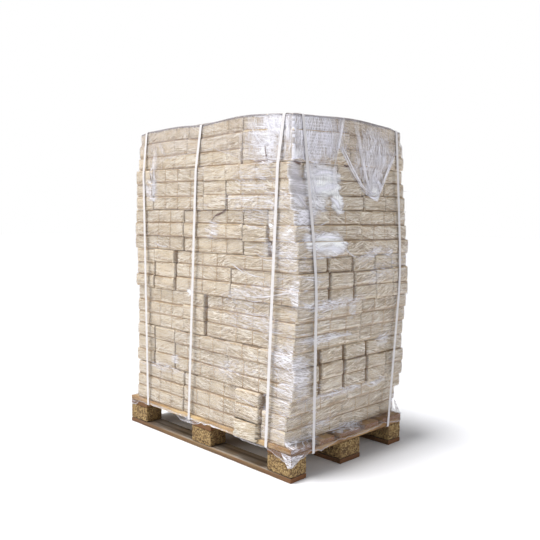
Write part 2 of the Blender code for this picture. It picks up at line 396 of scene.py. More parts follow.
# The boards of each kind, their slot, the name and axis of their wood, its light, dark and stained
# colours, how much of it is stained and, underneath, how dusty it is.
BOARD_GROUPS = {
    "deck_boards": (DECK, "deck_wood", (
        "deck_wood", 0, (0.63, 0.455, 0.215), (0.40, 0.24, 0.085), (0.17, 0.070, 0.020), 0.45,
    )),
    # Cross and bottom boards are coloured darker than the deck, partly as painted shade under the deck.
    "cross_boards": (CROSS, "deck_wood", (
        "cross_wood", 1, (0.42, 0.26, 0.105), (0.25, 0.13, 0.045), (0.16, 0.070, 0.022), 0.75,
    )),
    "bottom_boards": (BOTTOM, "bottom_wood", (
        "bottom_wood", 0, (0.23, 0.145, 0.065), (0.11, 0.060, 0.024), (0.16, 0.060, 0.014), 0.55, 0.8,
    )),
}
board_seed = 1.0
for name, (nodes, slot, wood) in BOARD_GROUPS.items():
    shape = Shape()
    for node in nodes:
        sawn_board(shape, *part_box(node), wood[1], board_seed)
        board_seed += 1.37
    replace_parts(shape.piece(name, wood_finish(*wood), slot), *nodes)

# Blocks: nine spacers of wood chips pressed with resin, nailed between the boards. They are crumbly
# at the corners and show flakes of many tones.
BLOCK_CUTS = 15
BLOCK_WEAR = 0.0016
BLOCK_NODES = ["block_" + row + "_" + place for row in ROWS for place in PLACES]
CHIP_TONES = (
    (0.15, (0.050, 0.025, 0.009)), (0.36, (0.18, 0.105, 0.038)),
    (0.60, (0.33, 0.215, 0.085)), (0.90, (0.50, 0.36, 0.16)),
)

chips = Finish("pressed_chips")
chip_place = chips.place()
stir = chips.node("TexNoise", "Color", {"Vector": chip_place, "Scale": 60.0})
warped = chips.node("VectorMath", 0, {0: stir, 1: [0.012] * 3, 2: chip_place}, operation="MULTIPLY_ADD")
flake_values = {"Vector": warped, "Scale": 165.0}
flake = chips.node("TexVoronoi", "Color", flake_values)
flake_tone = chips.node("SeparateColor", 0, {"Color": flake})
flake_edge = chips.node("TexVoronoi", "Distance", flake_values, feature="DISTANCE_TO_EDGE")
fines = chips.clouds(chip_place, 340.0, 2.0)
soil = chips.clouds(chip_place, 22.0, 3.0)
speckle = flake_tone * 0.75 + fines * 0.25
chip_colour = chips.node("ValToRGB", 0, {"Fac": speckle}, stops=CHIP_TONES)
chip_colour = chips.blend(1.0 - flake_edge.between(0.0, 0.07), chip_colour, (0.16, 0.095, 0.045))
chip_colour = chips.blend(soil.between(0.5, 0.75) * 0.4, chip_colour, (0.22, 0.13, 0.06))
chips.set(Base_Color=chip_colour, Roughness=0.88)
chips.relief(flake_tone * 0.6 + fines * 0.3 + flake_edge.between(0.0, 0.1) * 0.4, 0.0016, 0.9)

blocks = Shape()
for number, node in enumerate(BLOCK_NODES):
    low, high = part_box(node)
    middle, half = (low + high) / 2, (high - low) / 2
    builder = bmesh.new()
    bmesh.ops.create_cube(builder, size=2.0)
    bmesh.ops.subdivide_edges(builder, edges=builder.edges, cuts=BLOCK_CUTS, use_grid_fill=True)
    points = []
    for vertex in builder.verts:
        unit = vertex.co
        near = sorted(half[k] * (1 - abs(unit[k])) for k in range(3))[1]
        place = Vector(half[k] * unit[k] for k in range(3))
        rough = noise.noise(place * 75 + Vector((number * 9.1, 0, 0)))
        crumb = noise.noise(place * 210 + Vector((0, number * 5.3, 0)))
        inward = BLOCK_WEAR * (1.6 if near < 0.002 else 1.0) * (1.0 + 0.55 * rough + 0.45 * crumb)
        points.append(middle + Vector(
            place[k] - math.copysign(inward, unit[k]) * (abs(unit[k]) > 0.999) for k in range(3)
        ))
    blocks.add(points, [[v.index for v in face.verts] for face in builder.faces], tone=0.0)
    builder.free()
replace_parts(blocks.piece("blocks", chips.material, "chipboard", smooth=35), *BLOCK_NODES)

# Nails: flat steel heads, three to a block in the wide boards and two in the narrow, sunk a little
# into the deck and bottom boards.
NAIL_RADIUS = 0.0048
NAIL_THICK = 0.0012
NAIL_SUNK = {True: 0.0002, False: 0.0012}
NAIL_STRAY = 0.004
WIDE_BOARD = 0.12
BLOCK_COLUMNS = (-0.5275, 0.0, 0.5275)
NAIL_SPOTS = {
    True: ((-0.028, -0.042), (0.026, 0.0), (-0.022, 0.044)), False: ((-0.02, -0.024), (0.024, 0.022)),
}
steel = Finish("nail_steel")
rust = steel.clouds(steel.place(), 160.0, 3.0)
steel_colour = steel.blend(rust, (0.20, 0.11, 0.06), (0.42, 0.38, 0.35))
steel.set(Base_Color=steel_colour, Metallic=rust.between(0.35, 0.7), Roughness=0.5)
builder = bmesh.new()
bmesh.ops.create_cone(
    builder, cap_ends=True, segments=14, radius1=NAIL_RADIUS, radius2=NAIL_RADIUS * 0.82,
    depth=NAIL_THICK,
)
nail = linked("nail_head", built("nail_head", builder))


def repeat_tree(name, material):
    """Nodes that copy a pattern object onto points, each turned and sized by its point."""
    tree = bpy.data.node_groups.new(name, "GeometryNodeTree")
    for entry, way, kind in (
        ("Geometry", "INPUT", "Geometry"), ("Pattern", "INPUT", "Object"),
        ("Geometry", "OUTPUT", "Geometry"),
    ):
        tree.interface.new_socket(entry, in_out=way, socket_type="NodeSocket" + kind)
    start = tree.nodes.new("NodeGroupInput")
    source, place, turn, size, real, dressed = (
        tree.nodes.new("GeometryNode" + kind) for kind in (
            "ObjectInfo", "InstanceOnPoints", "InputNamedAttribute", "InputNamedAttribute",
            "RealizeInstances", "SetMaterial",
        )
    )
    dressed.inputs["Material"].default_value = material
    for entry, key in ((turn, "turn"), (size, "size")):
        entry.data_type = "FLOAT_VECTOR"
        entry.inputs["Name"].default_value = key
    for first, output, last, entry in (
        (start, "Pattern", source, "Object"), (start, "Geometry", place, "Points"),
        (source, "Geometry", place, "Instance"), (turn, "Attribute", place, "Rotation"),
        (size, "Attribute", place, "Scale"), (place, "Instances", real, "Geometry"),
        (real, "Geometry", dressed, "Geometry"),
        (dressed, "Geometry", tree.nodes.new("NodeGroupOutput"), "Geometry"),
    ):
        tree.links.new(first.outputs[output], last.inputs[entry])
    return tree


def repeated(name, tree, pattern, points):
    """A plain mesh of a pattern repeated at (place, turn, size, tone) points."""
    places, turns, sizes, tones = zip(*points)
    mesh = bpy.data.meshes.new(name + "_points")
    mesh.from_pydata(places, [], [])
    paint(mesh, "turn", turns, "FLOAT_VECTOR", "vector")
    paint(mesh, "size", sizes, "FLOAT_VECTOR", "vector")
    paint(mesh, "tone", tones)
    holder = linked(name + "_holder", mesh)
    repeat = holder.modifiers.new("repeat", "NODES")
    repeat.node_group = tree
    repeat[tree.interface.items_tree["Pattern"].identifier] = pattern
    evaluated = holder.evaluated_get(bpy.context.evaluated_depsgraph_get())
    result = bpy.data.meshes.new_from_object(evaluated)
    result.name = name
    bpy.data.objects.remove(holder)
    bpy.data.meshes.remove(mesh)
    return dress(linked(name, result))


nail_rng = np.random.default_rng(3)
nail_points = []
for node in DECK + BOTTOM:
    low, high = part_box(node)
    upward = node in DECK
    level = high.z - NAIL_SUNK[True] if upward else low.z + NAIL_SUNK[False]
    for column in BLOCK_COLUMNS:
        for dx, dy in NAIL_SPOTS[high.y - low.y > WIDE_BOARD]:
            stray = nail_rng.uniform(-NAIL_STRAY, NAIL_STRAY, 2)
            place = (column + dx + stray[0], (low.y + high.y) / 2 + dy + stray[1], level)
            turn = (0.0 if upward else math.pi, 0.0, nail_rng.uniform(0, 6.2))
            nail_points.append((place, turn, (1.0, 1.0, 1.0), 0.0))
set_nails = repeat_tree("set_nails", steel.material)
repeated("nail_heads", set_nails, nail, nail_points)
bpy.data.objects.remove(nail)

# Packs: each is 12 briquettes of pressed sawdust, four side by side in three courses. A layer
# holds 14 packs, laid by hand, so courses sit a few millimetres out of line.
COURSES = 3
PACK_GAP = 0.004
SLEEVE_ROOM = 0.0012
BRIQUETTE = (0.098, 0.152, 0.0655)
BRIQUETTE_ROUND = 0.0060
JOINT_ROUND = 0.0030
# For each layer: which way the packs of each column lie, lengthwise (L) or endwise (E), and where
# the gaps are: along X, along Y in an endwise column and along Y in a lengthwise one.
LAYOUT = (
    ("LLEE", (-0.157, 0.243, 0.405), -0.003, (-0.226, -0.064, 0.098, 0.262)),
    ("EELL", (-0.410, -0.235, 0.172), 0.012, (-0.217, -0.050, 0.118, 0.268)),
    ("LELE", (-0.164, 0.006, 0.438), 0.062, (-0.220, -0.060, 0.100, 0.260)),
    ("EELL", (-0.410, -0.230, 0.188), 0.010, (-0.190, -0.018, 0.147, 0.279)),
    ("LLEE", (-0.156, 0.270, 0.432), 0.052, (-0.228, -0.068, 0.092, 0.252)),
    ("ELEL", (-0.404, 0.002, 0.165), 0.016, (-0.232, -0.080, 0.094, 0.264)),
    ("LLEE", (-0.152, 0.250, 0.412), 0.000, (-0.218, -0.060, 0.098, 0.257)),
)
# Packs that stand out of line, by layer, column and row: how far they are pushed along Y.
PUSHED = {
    (1, 2, 0): -0.018, (4, 1, 0): -0.006, (3, 1, 0): -0.005, (6, 2, 0): -0.004, (2, 0, 0): 0.003,
}
# Gaps that stand open wider than the rest, by layer and gap: their width along X and along Y.
OPEN_GAPS = {
    (2, 0): 0.014, (3, 1): 0.016, (4, 0): 0.014, (4, 1): 0.019, (5, 2): 0.014, (1, 2): 0.012,
}
OPEN_ROWS = {(2, 0): 0.024, (2, 1): 0.021, (2, 2): 0.022, (4, 0): 0.020, (4, 1): 0.016}
# How far out each course of the load reaches on each side, from the lowest up.
REACH = {
    "left": (
        0.556, 0.552, 0.553, 0.567, 0.562, 0.56, 0.558, 0.56, 0.557, 0.573, 0.568, 0.563, 0.578,
        0.571, 0.566, 0.553, 0.554, 0.553, 0.552, 0.548, 0.54,
    ),
    "right": (
        0.556, 0.56, 0.578, 0.596, 0.599, 0.592, 0.593, 0.598, 0.604, 0.622, 0.621, 0.611, 0.612,
        0.601, 0.592, 0.577, 0.566, 0.558, 0.57, 0.566, 0.558,
    ),
    "front": (
        0.39, 0.389, 0.384, 0.385, 0.382, 0.386, 0.379, 0.38, 0.376, 0.384, 0.378, 0.382, 0.383,
        0.388, 0.386, 0.391, 0.39, 0.393, 0.377, 0.374, 0.368,
    ),
    "back": (
        0.392, 0.398, 0.416, 0.409, 0.411, 0.407, 0.41, 0.415, 0.417, 0.403, 0.401, 0.398, 0.411,
        0.406, 0.408, 0.424, 0.426, 0.421, 0.414, 0.407, 0.398,
    ),
}
# The most that a course drifts out of line, a briquette is short, and it lies turned or tilted.
DRIFT = 0.003
SWING = 0.0022
TURN = math.radians(0.8)
TILT = math.radians(0.55)
# The most that a line between courses lies high or low, and a pack's slope. They have draws of their
# own, so that they can be altered without moving the rest.
SINK = 0.0055
SLOPE = 0.008
JOINT_GAPS = (-0.0022, 0.0014)
SLIP = 0.006
sink_rng = np.random.default_rng(17)


def pack_ends(edges, index, widths, number):
    """Where a pack ends, between two gaps or at the outer edges of its layer."""
    before, after = (widths.get((number, gap), PACK_GAP) / 2 for gap in (index - 1, index))
    last = index == len(edges) - 2
    return edges[index] + (before if index else 0), edges[index + 1] - (0 if last else after)


def lay_packs(number, pattern, x_gaps, column_gap, row_gaps, rng):
    """The courses of a layer's packs: their boxes, the way they lie and their drift."""
    low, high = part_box("pack_layer_" + str(number))
    packs = []
    for column, kind in enumerate(pattern):
        y_edges = [low.y, *(row_gaps if kind == "L" else (column_gap,)), high.y]
        last_row = len(y_edges) - 2
        for row in range(last_row + 1):
            shifts = rng.uniform(-DRIFT, DRIFT, (COURSES, 2))
            for course in range(COURSES):
                level = (number - 1) * COURSES + course
                if column == 0:
                    shifts[course, 0] = -REACH["left"][level] - low.x
                if column == 3:
                    shifts[course, 0] = REACH["right"][level] - high.x
                if row == 0:
                    inward = rng.uniform(0, 2 * DRIFT) * (0 < column < 3)
                    inward += PUSHED.get((number, column, row), 0.0)
                    shifts[course, 1] = inward - REACH["front"][level] - low.y
                if row == last_row:
                    inward = rng.uniform(0, 2 * DRIFT) * (column < 3)
                    shifts[course, 1] = REACH["back"][level] - inward - high.y
            packs.append({
                "kind": kind, "x": pack_ends([low.x, *x_gaps, high.x], column, OPEN_GAPS, number),
                "y": pack_ends(y_edges, row, OPEN_ROWS if kind == "L" else {}, number),
                "shifts": shifts, "lines": (0.0, *sink_rng.uniform(-SINK, SINK, COURSES - 1), 0.0),
                "slope": sink_rng.uniform(-SLOPE, SLOPE),
                "outer": column in (0, 3) or row in (0, last_row), "tone": rng.uniform(-1, 1),
            })
    return packs, low.z, (high.z - low.z) / COURSES


def course_box(pack, course, low, height):
    """Corners of one course of a pack, inside its sleeve and inside the layer's outline."""
    x, y = ([value + by for value in pack[way]] for way, by in zip("xy", pack["shifts"][course]))
    return x, y, [low + line * height + pack["lines"][line] for line in (course, course + 1)]


def leaning(pack, x, y):
    """How far a pack that lies aslope lifts a place on it."""
    place, ends = (x, pack["x"]) if pack["kind"] == "L" else (y, pack["y"])
    return pack["slope"] * (place - sum(ends) / 2)


sawdust = Finish("pressed_sawdust")
dust_place = sawdust.place()
dust = sawdust.clouds(dust_place, 260.0, 4.0, 0.7)
mottle = sawdust.clouds(dust_place, 34.0, 3.0, 0.55)
strands = sawdust.streaks(dust_place, (90, 90, 420), 3.0, 0.6)
shade = (dust * 0.45 + mottle * 0.35 + strands * 0.35).between(0.36, 0.78)
dust_colour = sawdust.blend(shade, (0.46, 0.38, 0.27), (0.72, 0.63, 0.49))
dust_colour = sawdust.tint(dust_colour, sawdust.value("tone") * 0.10 + 1.0)
# Painted shade: the briquettes darken with their depth behind the film envelope, in the gaps between
# packs.
painted_gap_shade = sawdust.value("depth").between(0.0050, 0.0200)
sawdust.set(Base_Color=sawdust.blend(painted_gap_shade, dust_colour, (0.44, 0.29, 0.125)), Roughness=0.75)
pull_values = {"Vector": dust_place, "Rotation": (0.14, 0.16, 0.0), "Scale": (14, 14, 150)}
pull = sawdust.node("Mapping", 0, pull_values, vector_type="POINT")
drawn = sawdust.clouds(pull, 1.0, 3.0, 0.6, 0.6)
sawdust.relief(dust * 0.4 + strands * 0.3 + mottle * 0.4 + drawn * 1.2, 0.0022, 0.8)

builder = bmesh.new()
bmesh.ops.create_cube(builder, size=1.0, matrix=Matrix.Diagonal((*BRIQUETTE, 1.0)))
for rounding, segments, at_rim in ((JOINT_ROUND, 2, False), (BRIQUETTE_ROUND, 3, True)):
    edges = [
        edge for edge in builder.edges
        if (abs(edge.verts[0].co.z - edge.verts[1].co.z) < 0.001) == at_rim
        and edge.calc_face_angle(0.0) > 1.0
    ]
    bmesh.ops.bevel(
        builder, geom=edges, offset=rounding, segments=segments, affect="EDGES", profile=0.5
    )
template = linked("briquette", built("briquette", builder))
template.data.shade_smooth()
template.data.set_sharp_from_angle(angle=math.radians(60))

lay_briquettes = repeat_tree("lay_briquettes", sawdust.material)
lay_rng = np.random.default_rng(7)
layers, layer_pieces = [], []
for number, plan in enumerate(LAYOUT, start=1):
    packs, base, height = lay_packs(number, *plan, lay_rng)
    layers.append((packs, base, height))
    points = []
    for pack in packs:
        lengthwise = pack["kind"] == "L"
        for course in range(COURSES):
            x, y, z = course_box(pack, course, base, height)
            (start, stop), (near, far) = (x, y) if lengthwise else (y, x)
            pitch = (stop - start - 2 * SLEEVE_ROOM) / 4
            joints = np.maximum(0.0, lay_rng.uniform(*JOINT_GAPS, 5))
            slips = np.concatenate([[0.0], lay_rng.uniform(-SLIP, SLIP, 3), [0.0]])
            for index in range(4):
                wobble = lay_rng.uniform(-1, 1, 6)
                first = start + SLEEVE_ROOM + index * pitch + slips[index] + joints[index]
                last = start + SLEEVE_ROOM + (index + 1) * pitch + slips[index + 1]
                last -= joints[index + 1]
                spot = ((first + last) / 2, (near + far) / 2 + wobble[0] * SWING * 0.5)
                spot = spot if lengthwise else spot[::-1]
                thin = 0.0004 + 0.0008 * abs(wobble[3])
                rise = leaning(pack, *spot) - thin / 2
                quarter = 0.0 if lengthwise else QUARTER
                points.append((
                    (*spot, (z[0] + z[1]) / 2 + rise),
                    (wobble[4] * TILT, -pack["slope"], quarter + wobble[2] * TURN),
                    (
                        (last - first - 0.0004) / BRIQUETTE[0],
                        (far - near - 2 * SLEEVE_ROOM - 0.002 - SWING * abs(wobble[0])) / BRIQUETTE[1],
                        (z[1] - z[0] - thin) / BRIQUETTE[2],
                    ),
                    0.7 * pack["tone"] + lay_rng.uniform(-0.6, 0.6),
                ))
    node = "pack_layer_" + str(number)
    laid = repeated(node + "_briquettes", lay_briquettes, template, points)
    layer_pieces.append(laid)
    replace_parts(laid, node)
bpy.data.objects.remove(template)

# Sleeves: thin clear film shrunk round each pack, pulled in between the courses and, less, at the
# joints of the briquettes, with creases that fan from the corners of the pack's ends.
top_low, top_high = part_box("pack_layer_7")
TOP_BASE = top_low.z - 0.001
SLEEVE_ROUND = 0.0075
COURSE_DIP = 0.0042
CORNER_BEND = 0.0045
JOINT_DIP = 0.0006
END_DIP = 0.005
JOINT_HALF = 0.005
JOINT_STRAY = 0.008
EDGE_SHY = 0.012
SLEEVE_STIR = 0.0005
SLEEVE_SWAY = 0.0026
LEAN = math.radians(26)
# How dark the painted shade of the lines between courses is, at the pack's foot and head and between them.
OUTER_LINE_SHADE = (0.9, 1.15)
INNER_LINE_SHADE = (0.20, 0.85)
CAP_PARTS = (0.16, 0.42, 0.68, 0.92)
# Rings of a course, from its edge inwards: distance, pull inward, and painted shade at its foot and head.
SLEEVE_PROFILE = (
    (0.0005, COURSE_DIP, 1.0, 1.0), (0.0028, 0.0026, 0.76, 0.60), (0.0068, 0.0012, 0.46, 0.20),
    (0.0130, 0.0004, 0.26, 0.04), (0.0230, 0.0, 0.08, 0.0),
)


def sleeve_ring(x, y, inset, kind, marks):
    """Places anticlockwise round a course, each with how marked it is by a joint behind it and how
    near it is to an upright edge."""
    half = ((x[1] - x[0]) / 2, (y[1] - y[0]) / 2)
    middle = np.array(((x[1] + x[0]) / 2, (y[1] + y[0]) / 2))
    ring = []
    for side in range(4):
        angle = side * QUARTER
        out = np.array((round(math.cos(angle)), round(math.sin(angle))))
        way = np.array((-out[1], out[0]))
        axis = 0 if out[0] else 1
        run_half = half[1 - axis] - SLEEVE_ROUND
        reach = half[axis] - inset
        shy = run_half - EDGE_SHY
        spots = [(-run_half, 0.0), (-shy, 0.0), (shy, 0.0), (run_half, 0.0)]
        if axis == "LE".index(kind):
            spots.append((0.0, 0.0))
        else:
            for joint in (-1, 0, 1):
                mark = marks[side // 2 * 3 + joint + 1]
                centre = joint * half[1 - axis] / 2 + (mark - 0.5) * JOINT_STRAY
                spots += [(centre - JOINT_HALF, 0.0), (centre, mark), (centre + JOINT_HALF, 0.0)]
        for run, mark in sorted(spots):
            place = middle + out * (reach - mark * JOINT_DIP) + way * run
            ring.append((*place, mark, 0.7 if abs(run) == run_half else 0.0))
        corner = middle + out * (reach - SLEEVE_ROUND) + way * run_half
        for bend in (angle + math.pi / 6, angle + 2 * math.pi / 6):
            turned = SLEEVE_ROUND * np.array((math.cos(bend), math.sin(bend)))
            ring.append((*(corner + turned - way * inset), 0.0, 1.0))
    return ring


def add_sleeve(shape, pack, base, height, rng):
    """The sleeve of one pack, as a closed tube of rings, closed by flat rings at both ends."""
    rings = []
    start = rng.uniform(0, 9, 2)
    lines = [rng.uniform(*OUTER_LINE_SHADE), *rng.uniform(*INNER_LINE_SHADE, COURSES - 1)]
    lines.append(rng.uniform(*OUTER_LINE_SHADE))
    joint_show = 0.45 if base > TOP_BASE else 1.0
    for course in range(COURSES):
        x, y, z = course_box(pack, course, base, height)
        slant = rng.uniform(-LEAN, LEAN)
        marks = rng.uniform(0, 1, 6)
        foot = [(z[0] + rise, pull, shade, 0) for rise, pull, shade, _ in SLEEVE_PROFILE]
        head = [(z[1] - rise, pull, shade, 1) for rise, pull, _, shade in SLEEVE_PROFILE[::-1]]
        for level, pull, shade, in_head in foot + head:
            at_end = shade == 1.0 and course == in_head * (COURSES - 1)
            inward = shade * CORNER_BEND * (-1 if in_head else 1)
            ring = []
            for px, py, mark, bend in sleeve_ring(x, y, pull + END_DIP * at_end, pack["kind"], marks):
                stir = cloud(px * 60, py * 60, level * 60) * SLEEVE_STIR
                sway = cloud(px * 13, py * 13, level * 30) * SLEEVE_SWAY * shade
                if at_end:
                    sway = abs(sway) * (-1 if in_head else 1)
                top = level + (sway + inward * bend + leaning(pack, px, py))
                # Painted shade along the course lines, fading up from each course's foot, and along the
                # joints of the briquettes.
                valley = min(1.0, shade + joint_show * mark ** 0.3)
                ring.append((px + stir, py - stir, top, 0, top, valley, lines[course + in_head], slant))
            ring = np.array(ring)
            ring[1:, 3] = np.cumsum(np.linalg.norm(np.diff(ring[:, :2], axis=0), axis=1))
            rings.append(ring)
    for end in (0, 1):
        edge = rings[-end]
        away = edge[:, :2] - edge[:, :2].mean(axis=0)
        reach = np.abs(away).max(axis=0)
        for part in CAP_PARTS:
            ring = edge.copy()
            ring[:, :2] -= away * part * reach.min() / reach
            ring[:, 2] = edge[:, 2].mean() + [leaning(pack, *place) for place in ring[:, :2]]
            ring[:, 3:5], ring[:, 5] = ring[:, :2], 0.0
            rings.insert(end * len(rings), ring)
    rows = np.concatenate(rings)
    around, level, valley, press, lean = rows[:, 3:].T
    loose = 0.25 + 0.62 * max(0.0, sum(pack["x"]) / 2 + 0.25)
    shape.add(
        rows[:, :3], ring_faces(len(rings), len(rings[0])), around=around + start[0],
        level=level + start[1], lean=lean, slack=loose * rng.uniform(0.6, 1.2), valley=valley,
        press=press, tone=pack["tone"],
    )


sleeve = Finish("sleeve_film")
wrap = sleeve.place("wrap")
lean_turn = sleeve.node("CombineXYZ", 0, {"Z": sleeve.value("lean")})
leant = sleeve.node("Mapping", 0, {"Vector": wrap, "Rotation": lean_turn}, vector_type="TEXTURE")
drawn = sleeve.streaks(leant, (5, 105, 1), 3.0, 0.55, 0.15)
fanned = sleeve.streaks(leant, (8, 85, 1), 2.0, 0.5, 0.15, 0.34)
pulled = sleeve.streaks(wrap, (3, 75, 1), 3.0, 0.55, 0.2)
where = sleeve.clouds(wrap, 9.0, 2.0)
slack = (sleeve.value("slack") * 0.9 + where.between(0.35, 0.65) * 0.5 + 0.02).clip()
# Painted highlights on the crease crests and painted shade in their grooves.
crest_glint = drawn.line(0.52, 0.60) + fanned.line(0.53, 0.60) * where.between(0.4, 0.6)
crest_glint = (crest_glint + pulled.line(0.53, 0.60) * 0.8).clip()
groove_shade = drawn.line(0.44, 0.52) + fanned.line(0.45, 0.53) * where.between(0.4, 0.6)
groove_shade = (groove_shade + pulled.line(0.44, 0.52) * 0.8).clip()
facing = sleeve.node("LayerWeight", "Facing", {"Blend": 0.25})
worn = sleeve.streaks(wrap, (14, 30, 1), 2.0)
# Painted shade at the foot of each course, along the course lines and over the joints of the briquettes.
valley = sleeve.value("valley")
# Painted shade: dark brown lines between the courses, where shade falls in the crevices.
line = valley.between(0.45, 0.95) * sleeve.value("press") * (worn.between(0.36, 0.60) * 0.6 + 0.45)
# Painted shade: the sleeves darken with their depth behind the envelope, and grow clearer there so that
# the shaded packs show.
painted_gap_shade = sleeve.value("depth").between(0.0055, 0.0180)
colour = sleeve.blend(worn.between(0.3, 0.7), (0.69, 0.60, 0.455), (0.765, 0.68, 0.54))
colour = sleeve.tint(colour, sleeve.value("tone") * 0.06 + 1.0)
for factor, shade in (
    (valley.between(0.0, 0.7), (0.42, 0.32, 0.205)), (groove_shade, (0.33, 0.235, 0.14)),
    (crest_glint * (1.0 - valley.between(0.0, 0.7)), (0.93, 0.885, 0.80)),
    (line.clip(), (0.17, 0.105, 0.055)), (painted_gap_shade, (0.36, 0.225, 0.10)),
):
    colour = sleeve.blend(factor, colour, shade)
# Painted sheen: the sleeve grows more opaque where it is seen edge-on.
cover = (crest_glint * 0.36 + groove_shade * 0.32) * slack + facing * 0.08 + valley.between(0.0, 0.55) * 0.70
sleeve.set(Base_Color=colour, Roughness=0.27, Alpha=(cover + 0.25).clip() * (1.0 - painted_gap_shade * 0.8))
creases = (drawn * 0.5 + fanned * 0.25 + pulled * 0.4) * (slack * 0.7 + 0.4)
sleeve.relief(creases + where * 1.6, 0.004, 0.7)


def wrapped_piece(shape, name, material):
    """A film piece with its place round the load, in metres, as its UV."""
    made = shape.piece(name, material, "clear_film", smooth=80)
    corner_points = np.empty(len(made.data.loops), dtype=np.int32)
    made.data.loops.foreach_get("vertex_index", corner_points)
    place = np.column_stack([np.concatenate(shape.painted[key]) for key in ("around", "level")])
    made.data.uv_layers.new(name="wrap").data.foreach_set("uv", place[corner_points].ravel())
    return made


# One pack of the lowest layer has slid out and lets its foot hang over the deck's edge. Each ring of
# the foot has its height, its front and back, and its left and right.
SLIPPED_RINGS = (
    (0.1265, -0.4085, -0.4013, 0.262, 0.388), (0.129, -0.412, -0.401, 0.254, 0.396),
    (0.135, -0.414, -0.4008, 0.25, 0.4), (0.144, -0.415, -0.4008, 0.248, 0.402),
    (0.1452, -0.415, -0.38, 0.248, 0.402), (0.17, -0.415, -0.38, 0.247, 0.403),
    (0.204, -0.414, -0.38, 0.248, 0.402), (0.211, -0.4105, -0.382, 0.25, 0.4),
)


def slipped_foot(grown):
    """Points and faces of the slipped pack's foot, grown outwards."""
    points = []
    for level, front, rear, left, right in SLIPPED_RINGS:
        rounding = min(0.003, 0.45 * (rear - front))
        for a, b in outline((right - left) / 2 + grown, (rear - front) / 2, rounding, 0.008):
            x, y = (left + right) / 2 + a, (front + rear) / 2 + b
            stir = 0.0012 * cloud(x * 55, level * 90, 3.0)
            points.append((x, y - (abs(stir) + grown) * (b < 0), level))
    rings = len(SLIPPED_RINGS)
    return np.array(points), ring_faces(rings, len(points) // rings)


foot, foot_sleeve = Shape(), Shape()
foot.add(*slipped_foot(0.0), tone=-0.2, depth=0.0)
foot.piece("slipped_pack_foot", sawdust.material, "pack_wood", smooth=60)
points, faces = slipped_foot(0.0007)
x, y, z = points.T
foot_sleeve.add(
    points, faces, around=x - y, level=z, lean=0.2, slack=0.8, press=0.8,
    valley=np.where((z > 0.205) | (z < 0.128), 0.5, 0.1),
)
wrapped_piece(foot_sleeve, "slipped_pack_sleeve", sleeve.material)
sleeve_rng = np.random.default_rng(21)
sleeve_pieces = []
for number, (packs, base, height) in enumerate(layers, start=1):
    shape = Shape()
    for pack in packs:
        if pack["outer"] or number == len(layers):
            add_sleeve(shape, pack, base, height, sleeve_rng)
    name = "pack_layer_" + str(number) + "_sleeves"
    sleeve_pieces.append(wrapped_piece(shape, name, sleeve.material))

# Film envelope: where film drawn round the load would lie. For each course it holds how far out the
# packs reach on each of the four sides, bridged over gaps and eased over the steps between layers.
RUN_STEP = 0.004
BRIDGE = 5
# Film dips into each gap, but not near a corner, and misses packs that lie deep behind the rest.
GAP_DIP = 0.0022
GAP_HALF = 0.007
GAP_SHY = 0.02
DEEP_PACK = 0.08
STEP_EASE = 1.5
STEP_REACH = 0.03
COURSE_ROWS = (0.03, 0.12, 0.30, 0.50, 0.70, 0.88, 0.97)
VALLEY_DIP = (0.0018, 0.0008, 0.0001, 0.0, 0.0001, 0.0008, 0.0018)
RING_ROUND = 0.010
CORNER_STEPS = 4
# Sides in order round the load: axis that the side faces and its sign, then where its middle lies
# on the way round, and whether that way runs with the side's own axis.
SIDES = {"front": (1, -1), "right": (0, 1), "back": (1, 1), "left": (0, -1)}
SIDE_START = {"front": 0.6, "right": 1.6, "back": 2.6, "left": 3.6}
SIDE_WAY = {"front": 1, "right": 1, "back": -1, "left": -1}
SIDE_LENGTH = {"front": 1.15, "right": 0.78, "back": 1.15, "left": 0.78}
RUNS = {
    side: np.arange(-0.640, 0.641, RUN_STEP) if axis else np.arange(-0.460, 0.461, RUN_STEP)
    for side, (axis, sign) in SIDES.items()
}


def around_at(side, along):
    return SIDE_START[side] + SIDE_WAY[side] * along


def neighbours(values, reach):
    """Each value with those up to some steps before and after it."""
    padded = np.pad(values, reach, mode="edge")
    return np.lib.stride_tricks.sliding_window_view(padded, 2 * reach + 1)


def side_reach(boxes, side):
    """How far out the packs of one course reach along a side."""
    axis, sign = SIDES[side]
    run = RUNS[side]
    reach = np.full(len(run), -1.0)
    seams = []
    outs = [sign * box[axis][0 if sign < 0 else 1] for box in boxes]
    for box, out in zip(boxes, outs):
        if out < max(outs) - DEEP_PACK:
            continue
        low, high = box[1 - axis]
        inside = (run >= low) & (run <= high)
        reach[inside] = np.maximum(reach[inside], out)
        seams += [low, high]
    closed = neighbours(neighbours(reach, BRIDGE).max(axis=1), BRIDGE).min(axis=1)
    known = closed > 0
    closed = np.interp(run, run[known], closed[known])
    for seam in seams:
        if run[known][0] + GAP_SHY < seam < run[known][-1] - GAP_SHY:
            closed = closed - GAP_DIP / 2 * np.exp(-(((run - seam) / GAP_HALF) ** 2))
    return closed


row_heights = []
row_reach = {side: [] for side in SIDES}
for packs, base, height in layers:
    for course in range(COURSES):
        boxes = [course_box(pack, course, base, height)[:2] for pack in packs]
        row_heights += [base + (course + part) * height for part in COURSE_ROWS]
        for side in SIDES:
            reach = side_reach(boxes, side)
            row_reach[side] += [reach - dip for dip in VALLEY_DIP]
row_heights = np.array(row_heights)
for side in SIDES:
    rows = np.array(row_reach[side])
    eased = rows.copy()
    for number, level in enumerate(row_heights):
        away = np.abs(row_heights - level)
        near = away < STEP_REACH
        eased[number] = (rows[near] - STEP_EASE * away[near, None]).max(axis=0)
    row_reach[side] = eased


